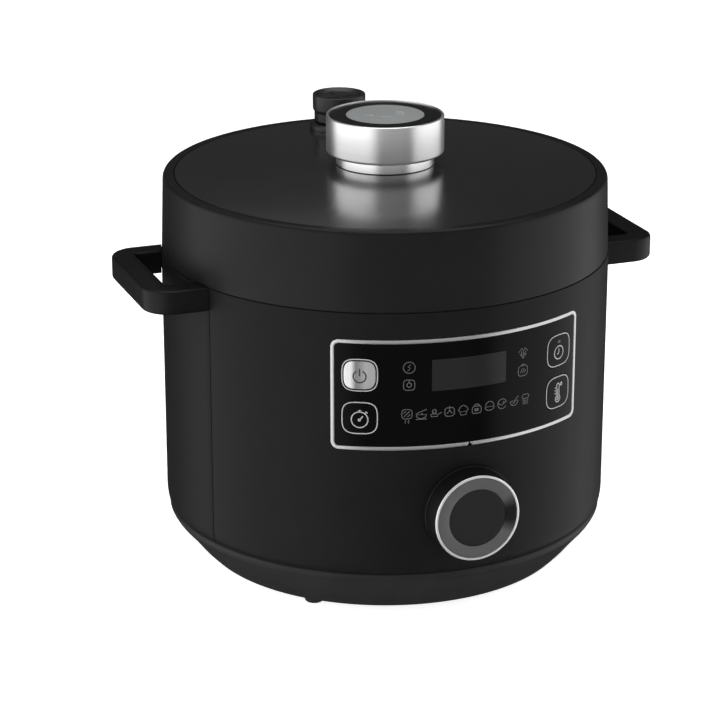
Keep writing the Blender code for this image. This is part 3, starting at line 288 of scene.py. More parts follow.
def spun(name, corners, steps=ROUND, sweep=360.0, start=0.0, fillet_steps=4):
    """An outline of (radius, z, fillet) corners, turned about Z; angles run from the front to +X."""
    outline = softened(corners, fillet_steps)
    closed = not (outline[0][0] < 1e-9 and outline[-1][0] < 1e-9)
    turn = Matrix.Rotation(radians(start), 3, "Z")
    obj = wire(name, [([turn @ Vector((0, -radius, z)) for radius, z in outline], closed)])
    edit(obj)
    bpy.ops.mesh.spin(steps=steps, angle=radians(-sweep), center=(0, 0, 0), axis=(0, 0, 1))
    bpy.ops.mesh.select_all(action="SELECT")
    bpy.ops.mesh.remove_doubles(threshold=2e-6)
    if sweep < 359.9:
        bpy.ops.mesh.select_all(action="SELECT")
        bpy.ops.mesh.fill_holes(sides=0)
        bpy.ops.mesh.select_all(action="SELECT")
    bpy.ops.mesh.normals_make_consistent(inside=False)
    return done()


def plate(name, x, z, half_width, half_height, corner, front, back, rounding=8, profile=0.5):
    """An upright plate with round corners that faces the front."""
    obj = settle(added(name, "plane", size=2), (x, front, z), (90, 0, 0), (half_width, half_height, 1))
    edit(obj)
    if corner > 0:
        bpy.ops.mesh.bevel(offset=corner, segments=rounding, affect="VERTICES", profile=profile)
    bpy.ops.mesh.select_all(action="SELECT")
    bpy.ops.mesh.extrude_region_move(TRANSFORM_OT_translate={"value": (0, back - front, 0)})
    bpy.ops.mesh.select_all(action="SELECT")
    bpy.ops.mesh.normals_make_consistent(inside=False)
    return done()


def box(name, size, centre, corner=0.0, segments=3):
    obj = settle(added(name, "cube", size=1), centre, (0, 0, 0), size)
    return bevelled(obj, corner, segments) if corner > 0 else obj


def drum(name, radius, low, high, centre=(0, 0), sides=64):
    """A plain round cutter."""
    obj = added(name, "cylinder", vertices=sides, radius=radius, depth=high - low)
    return settle(obj, (centre[0], centre[1], 0.5 * (low + high)))


def bent(obj, radius, count=0, spacing=MM):
    """Cut an upright flat piece across and bend it round Z; a negative radius bends it inwards."""
    across = [vert.co.x for vert in obj.data.vertices]
    low, high = min(across), max(across)
    count = count or ceil((high - low) / spacing)
    edit(obj)
    for number in range(1, count):
        bpy.ops.mesh.select_all(action="SELECT")
        bpy.ops.mesh.bisect(plane_co=(low + (high - low) * number / count, 0, 0),
                            plane_no=(1, 0, 0), threshold=1e-7)
    done()
    applied(obj, "SIMPLE_DEFORM", deform_method="BEND", deform_axis="Z", angle=(high - low) / radius)
    return settle(obj, (0, -radius, 0))


def wrapped(obj, spacing=3.0 * MM):
    """Bend a piece round the housing: its y = 0 comes onto the housing's surface."""
    return bent(obj, BODY_RADIUS, spacing=spacing)


def piped(name, paths, width, sides=2):
    """Round-ended rods along (points, closed) paths."""
    only(wire(name, paths))
    bpy.ops.object.convert(target="CURVE")
    curve = bpy.context.object.data
    curve.bevel_depth = 0.5 * width
    curve.bevel_resolution = sides
    curve.use_fill_caps = True
    bpy.ops.object.convert(target="MESH")
    obj = bpy.context.object
    obj.name = name
    return outwards(obj)


def strokes(name, paths, width, height, sides=2):
    """Round-ended lines along (points, closed) paths of (x, z), flattened onto y = 0."""
    obj = piped(name, [([(x, 0, z) for x, z in points], closed) for points, closed in paths], width, sides)
    return outwards(settle(obj, scale=(1, height / width, 1)))


def ring(x, z, radius, start=0.0, end=360.0, steps=24):
    """Points of a circle, or of an arc, angles in degrees from +x."""
    whole = abs(end - start) >= 360
    last = steps if whole else steps + 1
    points = []
    for step in range(last):
        turn = radians(start + (end - start) * step / steps)
        points.append((x + radius * cos(turn), z + radius * sin(turn)))
    return points, whole


def line(*points):
    return list(points), False


def loop(*points):
    return list(points), True


def squircle(x, z, half_width, half_height, power=3.4, steps=40):
    points = []
    for step in range(steps):
        turn = 2 * pi * step / steps
        c, s = cos(turn), sin(turn)
        points.append((x + half_width * (1 if c > 0 else -1) * abs(c) ** (2 / power),
                       z + half_height * (1 if s > 0 else -1) * abs(s) ** (2 / power)))
    return points, True


def moved(paths, x, z, scale=1.0):
    return [([(x + scale * px, z + scale * pz) for px, pz in points], closed)
            for points, closed in paths]


def along(angle):
    """Distance along the housing's surface of an angle from the front."""
    return BODY_RADIUS * radians(angle)


def piece(obj, body, material, slot, *nodes, smooth=32):
    """Finish a piece: shading, material, the body that carries it and the nodes it stands for."""
    only(obj)
    bpy.ops.object.shade_smooth_by_angle(angle=radians(smooth))
    obj.data.materials.clear()
    obj.data.materials.append(material)
    obj.data.name = obj.name
    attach(obj, body)
    if nodes:
        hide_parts(*nodes)
    return obj


# ---------------------------------------------------------------- materials

def nodes_of(name):
    material = bpy.data.materials.new(name)
    material.use_nodes = True
    return material, material.node_tree, material.node_tree.nodes["Principled BSDF"]


def spread(colour, amount):
    """Two neighbours of a colour, a little darker and a little lighter."""
    return [tuple(min(1.0, part * factor) for part in colour) for factor in (1 - amount, 1 + amount)]


def coordinates(tree, scale=(1, 1, 1), location=(0, 0, 0), rotation=(0, 0, 0)):
    place = tree.nodes.new("ShaderNodeTexCoord")
    mapping = tree.nodes.new("ShaderNodeMapping")
    mapping.inputs["Scale"].default_value = scale
    mapping.inputs["Location"].default_value = location
    mapping.inputs["Rotation"].default_value = rotation
    tree.links.new(place.outputs["Object"], mapping.inputs["Vector"])
    return mapping.outputs["Vector"]


def radial(tree, centre, axes):
    """Distance from an axis: centre is a point on it, axes keeps the two directions across it."""
    flat = tuple(1.0 if keep else 0.0 for keep in axes)
    offset = tuple(-c * keep for c, keep in zip(centre, flat))
    vector = coordinates(tree, flat, offset)
    length = tree.nodes.new("ShaderNodeVectorMath")
    length.operation = "LENGTH"
    tree.links.new(vector, length.inputs[0])
    return length.outputs["Value"]


def noise(tree, vector, scale, detail=3.0, roughness=0.55):
    texture = tree.nodes.new("ShaderNodeTexNoise")
    texture.inputs["Scale"].default_value = scale
    texture.inputs["Detail"].default_value = detail
    texture.inputs["Roughness"].default_value = roughness
    tree.links.new(vector, texture.inputs["Vector"])
    return texture.outputs["Fac"]


def ramp(tree, value, low, high, colours):
    """A value run between two colours."""
    blend = tree.nodes.new("ShaderNodeValToRGB")
    blend.color_ramp.elements[0].position = low
    blend.color_ramp.elements[1].position = high
    for element, colour in zip(blend.color_ramp.elements, colours):
        element.color = (*colour, 1.0)
    tree.links.new(value, blend.inputs["Fac"])
    return blend.outputs["Color"]


def ranged(tree, value, low, high):
    spread_node = tree.nodes.new("ShaderNodeMapRange")
    spread_node.inputs["From Min"].default_value = 0.25
    spread_node.inputs["From Max"].default_value = 0.75
    spread_node.inputs["To Min"].default_value = low
    spread_node.inputs["To Max"].default_value = high
    tree.links.new(value, spread_node.inputs["Value"])
    return spread_node.outputs["Result"]


def bump(tree, shader, height, strength, distance):
    relief = tree.nodes.new("ShaderNodeBump")
    relief.inputs["Strength"].default_value = strength
    relief.inputs["Distance"].default_value = distance
    tree.links.new(height, relief.inputs["Height"])
    tree.links.new(relief.outputs["Normal"], shader.inputs["Normal"])


def moulded(name, colour, roughness, grain=2600.0, relief=0.10, specular=0.5, vary=0.10, **sockets):
    """Moulded or painted surface: fine grain, and a slow drift of colour and sheen."""
    material, tree, shader = nodes_of(name)
    where = coordinates(tree)
    fine = noise(tree, where, grain, 2.0)
    slow = noise(tree, where, 38.0, 4.0)
    tree.links.new(ramp(tree, slow, 0.3, 0.7, spread(colour, vary)), shader.inputs["Base Color"])
    tree.links.new(ranged(tree, slow, roughness - 0.025, roughness + 0.025),
                   shader.inputs["Roughness"])
    shader.inputs["Specular IOR Level"].default_value = specular
    for socket, value in sockets.items():
        shader.inputs[socket.replace("_", " ")].default_value = value
    bump(tree, shader, fine, relief, 0.03 * MM)
    return material


def brushed(name, colour, roughness, stretch, metallic=1.0, relief=0.12, vary=0.06, scale=900.0):
    """Metal with fine brush lines; stretch is small along the lines and 1 across them."""
    material, tree, shader = nodes_of(name)
    lines = noise(tree, coordinates(tree, stretch), scale, 5.0, 0.7)
    cloud = noise(tree, coordinates(tree), 55.0, 3.0)
    tree.links.new(ramp(tree, lines, 0.30, 0.70, spread(colour, vary)), shader.inputs["Base Color"])
    tree.links.new(ranged(tree, cloud, roughness - 0.03, roughness + 0.04), shader.inputs["Roughness"])
    shader.inputs["Metallic"].default_value = metallic
    bump(tree, shader, lines, relief, 0.02 * MM)
    return material


def lathed(name, colour, roughness, centre, axes, metallic=1.0, pitch=2600.0, relief=0.10,
           vary=0.06, specular=0.5):
    """Surface with fine turning lines round an axis."""
    material, tree, shader = nodes_of(name)
    distance = radial(tree, centre, axes)
    spread_out = tree.nodes.new("ShaderNodeCombineXYZ")
    tree.links.new(distance, spread_out.inputs["X"])
    lines = noise(tree, spread_out.outputs["Vector"], pitch, 4.0, 0.65)
    tree.links.new(ramp(tree, lines, 0.32, 0.68, spread(colour, vary)), shader.inputs["Base Color"])
    tree.links.new(ranged(tree, lines, roughness - 0.04, roughness + 0.04), shader.inputs["Roughness"])
    shader.inputs["Metallic"].default_value = metallic
    shader.inputs["Specular IOR Level"].default_value = specular
    bump(tree, shader, lines, relief, 0.02 * MM)
    return material


def tinted(material, mask):
    """Multiply a finish's colour by a mask."""
    tree = material.node_tree
    shader = tree.nodes["Principled BSDF"]
    colour = shader.inputs["Base Color"].links[0].from_socket
    darker = tree.nodes.new("ShaderNodeMix")
    darker.data_type, darker.blend_type = "RGBA", "MULTIPLY"
    darker.inputs["Factor"].default_value = 1.0
    tree.links.new(colour, darker.inputs[6])
    tree.links.new(mask, darker.inputs[7])
    tree.links.new(darker.outputs[2], shader.inputs["Base Color"])
    return material


def painted_reflection_bands(material):
    """Painted reflection: light and dark bands across the power key, standing in for the studio reflected in
    its brushed metal.
    """
    tree = material.node_tree
    low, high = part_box("power_button")
    parts = tree.nodes.new("ShaderNodeSeparateXYZ")
    tree.links.new(coordinates(tree), parts.inputs["Vector"])
    across = tree.nodes.new("ShaderNodeMapRange")
    across.inputs["From Min"].default_value = low.x
    across.inputs["From Max"].default_value = high.x
    tree.links.new(parts.outputs["X"], across.inputs["Value"])
    mask = ramp(tree, across.outputs["Result"], 0.12, 0.92, [(0.95, 0.95, 0.95), (0.80, 0.80, 0.80)])
    stops = mask.node.color_ramp.elements
    for place, value in ((0.22, 1.0), (0.34, 0.30), (0.44, 0.42), (0.58, 0.72)):
        stops.new(place).color = (value, value, value, 1.0)
    return tinted(material, mask)


def painted_shade_patch(material):
    """Painted shade: a soft dark patch on the right of the dial's ring, standing in for the dark part of its
    reflection.
    """
    tree = material.node_tree
    sideways = tree.nodes.new("ShaderNodeVectorMath")
    sideways.operation = "NORMALIZE"
    tree.links.new(coordinates(tree, (1, 0, 1), (0, 0, -DIAL_Z)), sideways.inputs[0])
    parts = tree.nodes.new("ShaderNodeSeparateXYZ")
    tree.links.new(sideways.outputs["Vector"], parts.inputs["Vector"])
    return tinted(material, ramp(tree, parts.outputs["X"], 0.86, 0.985, [(1, 1, 1), (0.07, 0.07, 0.07)]))


def striped_glass(name, colour):
    """Smoked window with the faint rows of the display behind it."""
    material, tree, shader = nodes_of(name)
    rows = tree.nodes.new("ShaderNodeTexWave")
    rows.wave_type, rows.bands_direction = "BANDS", "Z"
    rows.inputs["Scale"].default_value = 210.0
    rows.inputs["Distortion"].default_value = 1.2
    rows.inputs["Detail"].default_value = 2.0
    tree.links.new(coordinates(tree), rows.inputs["Vector"])
    tree.links.new(ramp(tree, rows.outputs["Fac"], 0.1, 0.9, spread(colour, 0.22)),
                   shader.inputs["Base Color"])
    cloud = noise(tree, coordinates(tree), 120.0)
    tree.links.new(ranged(tree, cloud, 0.20, 0.26), shader.inputs["Roughness"])
    shader.inputs["Specular IOR Level"].default_value = 0.15
    return material


def speckled(name, colour, fleck, roughness, metallic=0.3):
    """Non-stick coating: a dark ground with fine pale flecks."""
    material, tree, shader = nodes_of(name)
    where = coordinates(tree)
    cells = tree.nodes.new("ShaderNodeTexVoronoi")
    cells.inputs["Scale"].default_value = 420.0
    tree.links.new(where, cells.inputs["Vector"])
    tree.links.new(ramp(tree, cells.outputs["Distance"], 0.10, 0.22, [fleck, colour]),
                   shader.inputs["Base Color"])
    tree.links.new(ranged(tree, noise(tree, where, 70.0), roughness - 0.04, roughness + 0.05),
                   shader.inputs["Roughness"])
    shader.inputs["Metallic"].default_value = metallic
    bump(tree, shader, noise(tree, where, 900.0), 0.15, 0.05 * MM)
    return material


def board_green(name):
    """Circuit board: solder mask with paler tracks and dots of solder."""
    material, tree, shader = nodes_of(name)
    tracks = tree.nodes.new("ShaderNodeTexBrick")
    tracks.inputs["Scale"].default_value = 240.0
    tracks.inputs["Mortar Size"].default_value = 0.06
    tracks.inputs["Color1"].default_value = (0.012, 0.10, 0.045, 1)
    tracks.inputs["Color2"].default_value = (0.016, 0.13, 0.055, 1)
    tracks.inputs["Mortar"].default_value = (0.05, 0.22, 0.09, 1)
    tree.links.new(coordinates(tree), tracks.inputs["Vector"])
    tree.links.new(tracks.outputs["Color"], shader.inputs["Base Color"])
    tree.links.new(ranged(tree, noise(tree, coordinates(tree), 300.0), 0.35, 0.5),
                   shader.inputs["Roughness"])
    return material


def clear(name):
    """Clear moulded plastic with a slight haze."""
    material, tree, shader = nodes_of(name)
    where = coordinates(tree)
    tree.links.new(ramp(tree, noise(tree, where, 60.0), 0.3, 0.7,
                        [(0.78, 0.81, 0.82), (0.86, 0.88, 0.89)]), shader.inputs["Base Color"])
    tree.links.new(ranged(tree, noise(tree, where, 220.0), 0.10, 0.20), shader.inputs["Roughness"])
    shader.inputs["Transmission Weight"].default_value = 0.82
    shader.inputs["IOR"].default_value = 1.30
    return material


FINISHES = {}


def make_finishes(colours):
    upright, flat = (1, 1, 0), (1, 0, 1)
    FINISHES.update(
        body=moulded("satin_plastic", colours.body, 0.46, specular=0.08),
        # painted light: the base is a lighter copy of the body plastic, standing in for the pale floor
        # lighting its cone
        foot=moulded("base_plastic", [2.2 * part for part in colours.body], 0.46, specular=0.12),
        grip=moulded("handle_plastic", [0.6 * part for part in colours.body], 0.42, 2200.0, 0.16, 0.14),
        valve=moulded("valve_plastic", [1.3 * part for part in colours.body], 0.40, 1400.0, 0.25, 0.40),
        rim=moulded("lid_rim_plastic", [1.1 * part for part in colours.body], 0.40, specular=0.12),
        lid=moulded("lid_lacquer", colours.lid, 0.20, 3200.0, 0.05, 0.5, IOR=1.8, Coat_Weight=1.0,
                    Coat_IOR=1.7, Coat_Roughness=0.2),
        inside=moulded("inner_plastic", (0.020, 0.020, 0.021), 0.55, 1500.0, 0.25),
        panel=moulded("panel_gloss", colours.panel, 0.26, 3000.0, 0.015, 0.07),
        key=moulded("key_gloss", [1.2 * part for part in colours.panel], 0.26, 3000.0, 0.02, 0.07),
        window=striped_glass("smoked_glass", colours.window),
        trim=brushed("silver_trim_metal", [0.58 * part for part in colours.silver], 0.34,
                     (0.05, 0.05, 1.0), 0.85),
        knob=brushed("turned_aluminium", colours.silver, 0.35, (0.02, 0.02, 1.0), relief=0.04, vary=0.03),
        # the power key's metal carries painted reflection bands, light and dark across it
        key_metal=painted_reflection_bands(brushed("brushed_key_metal", (0.80, 0.80, 0.80), 0.30, (1.0, 1.0, 0.03), 0.9)),
        ring=moulded("knob_ring_gloss", (0.006, 0.006, 0.0065), 0.24, 2600.0, 0.05),
        disc=moulded("knob_disc_satin", colours.disc, 0.48, 2400.0, 0.12, 0.4, 0.05),
        # painted highlight: the embossed strokes are a lighter copy of the disc's satin
        emboss=moulded("embossed_satin", [1.35 * part for part in colours.disc], 0.30, 2400.0, 0.05),
        # the dial's ring carries a painted shade patch on its right
        dial_ring=painted_shade_patch(lathed("dial_ring_turned", colours.dial, 0.38, (0, 0, DIAL_Z), flat, 0.55)),
        dial_face=lathed("dial_face_turned", (0.0105, 0.0105, 0.011), 0.34, (0, 0, DIAL_Z), flat,
                         0.0, 1800.0, 0.12, specular=0.25),
        chrome=brushed("silvered_rim", (0.72, 0.72, 0.72), 0.42, (1, 1, 1), 0.7, 0.0, 0.03, 400.0),
        steel=lathed("drawn_steel", (0.56, 0.56, 0.57), 0.27, (0, 0, 0), upright, 1.0, 1500.0),
        wall_steel=brushed("rolled_steel", (0.54, 0.54, 0.55), 0.30, (0.03, 0.03, 1.0)),
        bright=brushed("plated_steel", (0.60, 0.60, 0.61), 0.24, (1, 1, 0.2), scale=600.0),
        pot=speckled("non_stick_coating", (0.030, 0.030, 0.032), (0.12, 0.12, 0.125), 0.38),
        silicone=moulded("silicone_rubber", (0.60, 0.60, 0.57), 0.58, 900.0, 0.15, 0.4, 0.05),
        rubber=moulded("foot_rubber", (0.012, 0.012, 0.012), 0.78, 1200.0, 0.4, 0.3, 0.15),
        board=board_green("circuit_board_green"),
        cast=lathed("cast_plate", (0.46, 0.46, 0.47), 0.42, (0, 0, 0), upright, 0.9, 700.0, 0.35),
        red=moulded("red_pin_plastic", (0.50, 0.025, 0.018), 0.35, 1200.0, 0.08),
        clear=clear("clear_cup_plastic"),
        print_light=moulded("light_print", colours.print_light, 0.45, 2000.0, 0.02),
        print_dim=moulded("dim_print", colours.print_dim, 0.50, 2000.0, 0.02, 0.3),
        print_dark=moulded("dark_print", (0.030, 0.031, 0.033), 0.45, 2000.0, 0.02, 0.3),
    )


# ---------------------------------------------------------------- pieces

class COOKER_OT_finishes(bpy.types.Operator):
    """Make the finishes that the pieces share"""
    bl_idname = "cooker.finishes"
    bl_label = "Finishes"

    def execute(self, context):
        make_finishes(context.scene.cooker_colours)
        return {"FINISHED"}


def shell_corners():
    outer, inner = BODY_RADIUS, BODY_RADIUS - SHELL_WALL
    return [
        (inner, SHELL_TOP), (inner, SHELL_Z), (outer - 1.9 * MM, SHELL_Z, 0.7 * MM),
        (outer - 0.7 * MM, SHELL_Z + 2.6 * MM, 1.6 * MM), (outer, SHELL_Z + 8.0 * MM, 3.0 * MM),
        (outer, SHELL_TOP, 0.6 * MM)]


class COOKER_OT_shells(bpy.types.Operator):
    """Front and rear shell of the housing"""
    bl_idname = "cooker.shells"
    bl_label = "Shells"

    def execute(self, context):
        sizes = context.scene.cooker_sizes
        half_seam = 0.5 * sizes.seam / BODY_RADIUS * 180 / pi
        front = spun("front_shell_skin", shell_corners(), 72, 2 * (SEAM_ANGLE - half_seam),
                     -SEAM_ANGLE + half_seam)
        bevelled(front, 0.3 * MM, 2)
        half = along(PANEL_ANGLE) + 0.25 * MM
        opening = plate("opening", 0, PANEL_Z, half, 0.5 * (PANEL_TOP - PANEL_BOTTOM) + 0.25 * MM,
                        5.6 * MM, -6 * MM, 8 * MM)
        wrapped(opening)
        bezel = middle("dial_bezel")
        hole = drum("dial_hole", 0.5 * (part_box("dial_bezel")[1].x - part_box("dial_bezel")[0].x)
                    + 0.2 * MM, -30 * MM, 30 * MM)
        settle(hole, (0, -BODY_RADIUS, bezel.z), (90, 0, 0))
        cut(front, opening, hole)
        piece(front, "housing", FINISHES["body"], "satin_black", "front_shell")

        rear = spun("rear_shell_skin", shell_corners(), 112, 2 * (180 - SEAM_ANGLE - half_seam),
                    SEAM_ANGLE + half_seam)
        bevelled(rear, 0.3 * MM, 2)
        inlet = middle("mains_inlet")
        way = box("inlet_way", (32.4 * MM, 30 * MM, 26.4 * MM), (0, BODY_RADIUS, inlet.z))
        cut(rear, way)
        piece(rear, "housing", FINISHES["body"], "satin_black", "rear_shell")
        return {"FINISHED"}


class COOKER_OT_base(bpy.types.Operator):
    """Tapered base with its groove and four rubber feet"""
    bl_idname = "cooker.base"
    bl_label = "Base"

    def execute(self, context):
        top, low = BASE_TOP, BASE_Z
        rim = 129.9 * MM
        inner = BASE_RADIUS - 2.5 * MM
        corners = [
            (BASE_RADIUS - 0.9 * MM, top, 0.4 * MM), (BASE_RADIUS, top - 1.0 * MM, 0.5 * MM),
            (BASE_RADIUS, top - 4.0 * MM, 0.4 * MM), (BASE_RADIUS - 0.8 * MM, top - 4.6 * MM, 0.3 * MM),
            (BASE_RADIUS - 0.6 * MM, top - 5.2 * MM, 0.4 * MM), (153.0 * MM, top - 8.4 * MM, 3.0 * MM),
            (145.2 * MM, 22.9 * MM, 4 * MM), (138.0 * MM, 13.6 * MM, 4 * MM),
            (rim + 0.8 * MM, low + 1.0 * MM, 1.4 * MM), (rim - 1.6 * MM, low, 0.8 * MM),
            (104.4 * MM, low, 0.4 * MM), (104.4 * MM, low + 3.0 * MM), (98.3 * MM, low + 3.0 * MM),
            (98.3 * MM, low + 5.4 * MM), (124.4 * MM, low + 5.4 * MM, 2 * MM),
            (inner, top - 6.0 * MM, 2 * MM), (inner, top)]
        base = spun("base_skin", corners)
        for number in range(1, 5):
            foot = middle(f"foot_{number}")
            cut(base, drum("stud_way", 4.1 * MM, low - 5 * MM, low + 12 * MM, (foot.x, foot.y), 32))
        piece(base, "housing", FINISHES["foot"], "satin_black", "base_shell")
        rubber = spun("rubber_foot_1", [
            (0, 0.4 * MM), (2.9 * MM, 0.4 * MM, 0.5 * MM), (3.6 * MM, 0, 0.5 * MM),
            (5.9 * MM, 0, 0.9 * MM), (6.9 * MM, 1.6 * MM, 0.9 * MM), (6.9 * MM, 4.6 * MM, 0.3 * MM),
            (3.8 * MM, 4.6 * MM), (3.8 * MM, 9.9 * MM, 0.4 * MM), (0, 9.9 * MM)], 48)
        feet = [rubber] + [copied(rubber, f"rubber_foot_{number}") for number in range(2, 5)]
        for number, foot in enumerate(feet, 1):
            where = middle(f"foot_{number}")
            settle(foot, (where.x, where.y, 0))
            piece(foot, "housing", FINISHES["rubber"], "rubber", f"foot_{number}")
        return {"FINISHED"}


HANDLE_CORNER = 19.5 * MM
HANDLE_BAR, HANDLE_ARM = 16.6 * MM, 17.2 * MM       # width of the grip and of the arms


class COOKER_OT_handles(bpy.types.Operator):
    """Two loop handles on the sides"""
    bl_idname = "cooker.handles"
    bl_label = "Handles"

    def execute(self, context):
        sizes = context.scene.cooker_sizes
        low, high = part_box("handle_right")
        far, half = high.x, high.y
        near = 128 * MM         # inside the wall; the wall's cutter takes the rest off
        loop_right = added("handle_loop_right", "plane", size=2)
        settle(loop_right, (0.5 * (near + far), 0, low.z), scale=(0.5 * (far - near), half, 1))
        pick(loop_right, "vertices", lambda vert: vert.co.x > near + MM)
        bpy.ops.mesh.bevel(offset=HANDLE_CORNER, segments=12, affect="VERTICES", profile=0.5)
        bpy.ops.mesh.select_all(action="SELECT")
        bpy.ops.mesh.extrude_region_move(TRANSFORM_OT_translate={"value": (0, 0, high.z - low.z)})
        bpy.ops.mesh.select_all(action="SELECT")
        bpy.ops.mesh.normals_make_consistent(inside=False)
        done()
        bar_inner, arm_inner = far - HANDLE_BAR, half - HANDLE_ARM
        hollow = box("hollow", (bar_inner - near + 20 * MM, 2 * arm_inner, 60 * MM),
                     (0.5 * (bar_inner + near - 20 * MM), 0, low.z))
        bevelled(hollow, 2.5 * MM, 4)
        cut(loop_right, hollow)
        bevelled(loop_right, sizes.handle_edge, 4, 50)
        wall = drum("wall", BODY_RADIUS + 0.3 * MM, low.z - 20 * MM, high.z + 20 * MM, sides=360)
        cut(loop_right, wall)
        loop_left = settle(copied(loop_right, "handle_loop_left"), rotation=(0, 0, 180))
        piece(loop_right, "housing", FINISHES["grip"], "satin_black", "handle_right")
        piece(loop_left, "housing", FINISHES["grip"], "satin_black", "handle_left")
        return {"FINISHED"}


KEYS = {                    # node: body of the key
    "power_button": "power_key",
    "timer_button": "timer_key",
    "delay_button": "delay_key",
    "temperature_button": "temperature_key",
}
KEY_ANGLE = 27.05
KEY_WIDTH, KEY_HEIGHT = 24.5 * MM, 22.9 * MM
KEY_PROFILE = 0.60          # how square the rounding of a key's corners is
KEY_FACE = -0.1 * MM        # a key's front, before it is wrapped
METAL_FACE = -0.35 * MM     # the front of the power key's metal face
PRINT_RISE = 0.24 * MM      # depth of a printed line, half of it sunk


def key_place(node):
    centre = middle(node)
    return along(KEY_ANGLE if centre.x > 0 else -KEY_ANGLE), centre.z


class COOKER_OT_panel(bpy.types.Operator):
    """Silver trim, glossy panel and display window"""
    bl_idname = "cooker.panel"
    bl_label = "Panel"

    def execute(self, context):
        sizes = context.scene.cooker_sizes
        half, tall = along(PANEL_ANGLE), 0.5 * (PANEL_TOP - PANEL_BOTTOM)
        trim = plate("panel_trim", 0, PANEL_Z, half, tall, 5.4 * MM, -0.4 * MM, SHELL_WALL)
        wide = sizes.frame_width
        inside = plate("inside", 0, PANEL_Z, half - wide, tall - wide, 3.4 * MM, -9 * MM, 9 * MM)
        cut(trim, inside)
        notch = added("notch", "cylinder", vertices=3, radius=2.6 * MM, depth=20 * MM)
        settle(notch, rotation=(90, 0, 0))
        settle(notch, (0, 0, PANEL_BOTTOM + 0.3 * MM))
        if max(vert.co.z for vert in notch.data.vertices) < PANEL_BOTTOM + 2.0 * MM:
            settle(notch, (0, 0, 2 * PANEL_BOTTOM + 0.6 * MM), (0, 180, 0))
        cut(trim, notch)
        bevelled(trim, 0.45 * MM, 3, 50)
        wrapped(trim)
        piece(trim, "housing", FINISHES["trim"], "silver_trim", "panel_frame")

        gap = 0.25 * MM
        panel = plate("glossy_panel", 0, PANEL_Z, half - wide - gap, tall - wide - gap,
                      3.2 * MM, 0, SHELL_WALL)
        low, high = levels("display_window")
        window_half = along(WINDOW_ANGLE)
        tools = [plate("window_way", 0, 0.5 * (low + high), window_half + gap,
                       0.5 * (high - low) + gap, 1.2 * MM, -9 * MM, 9 * MM)]
        for node in KEYS:
            x, z = key_place(node)
            tools.append(plate("key_way", x, z, 0.5 * KEY_WIDTH + 0.4 * MM,
                               0.5 * KEY_HEIGHT + 0.4 * MM, sizes.key_corner + 0.4 * MM,
                               -9 * MM, 9 * MM, 10, KEY_PROFILE))
        cut(panel, *tools)
        wrapped(panel)
        piece(panel, "housing", FINISHES["panel"], "gloss_black", "control_panel", smooth=25)

        glass = plate("display_glass", 0, 0.5 * (low + high), window_half, 0.5 * (high - low),
                      1.0 * MM, 0, 1.8 * MM)
        wrapped(glass)
        piece(glass, "housing", FINISHES["window"], "smoked_window", "display_window", smooth=25)
        return {"FINISHED"}


def key_body(node, name, sizes):
    x, z = key_place(node)
    key = plate(name, x, z, 0.5 * KEY_WIDTH, 0.5 * KEY_HEIGHT, sizes.key_corner, KEY_FACE,
                6.0 * MM, 10, KEY_PROFILE)
    bevelled(key, 0.3 * MM, 2, 60)
    return wrapped(key, 2.5 * MM)


def clock_icon():
    """A ring with two hands; the faint bar above it is drawn on its own, in dim print."""
    return [ring(0, -1.6, 4.6, steps=36), line((0, 1.3), (0, -1.8), (-1.6, -2.8))]


def stopwatch_icon():
    return [
        ring(0, -1.2, 5.5, steps=36), loop((-1.3, 5.1), (1.3, 5.1), (0, 5.3)), line((0, 5.1), (0, 4.6)),
        line((3.6, 3.3), (4.5, 4.2)), line((3.9, 4.6), (5.2, 3.6)), line((0.3, -0.9), (2.2, 1.3)),
        ring(-0.2, -1.4, 0.65, steps=10)]


def thermometer_icon():
    tube = ring(0, 4.8, 1.35, 0, 180, 8)[0]
    bulb = ring(0, -4.6, 2.5, 123, 417, 16)[0]
    marks = [line((-3.4, height), (-2.3, height)) for height in (-0.6, 1.4, 3.4)]
    return [(tube + bulb, True), line((0, -4.0), (0, 2.4)), ring(0, -4.6, 1.0, steps=10),
            ring(3.4, 5.0, 1.0, steps=12)] + marks


def power_icon():
    return [ring(0, -0.9, 4.2, 118, 422, 30), line((0, 4.6), (0, -0.6))]


KEY_SYMBOLS = {
    "timer_button": stopwatch_icon,
    "delay_button": clock_icon,
    "temperature_button": thermometer_icon,
}


def key_print(name, node, paths, finish, slot, face=KEY_FACE, width=None):
    """Lines printed on a key, along paths in millimetres from its middle."""
    width = width or bpy.context.scene.cooker_sizes.line
    mark = strokes(name, moved(paths, *key_place(node), MM), width, PRINT_RISE)
    wrapped(settle(mark, (0, face, 0)), 1.2 * MM)
    return piece(mark, KEYS[node], FINISHES[finish], slot)


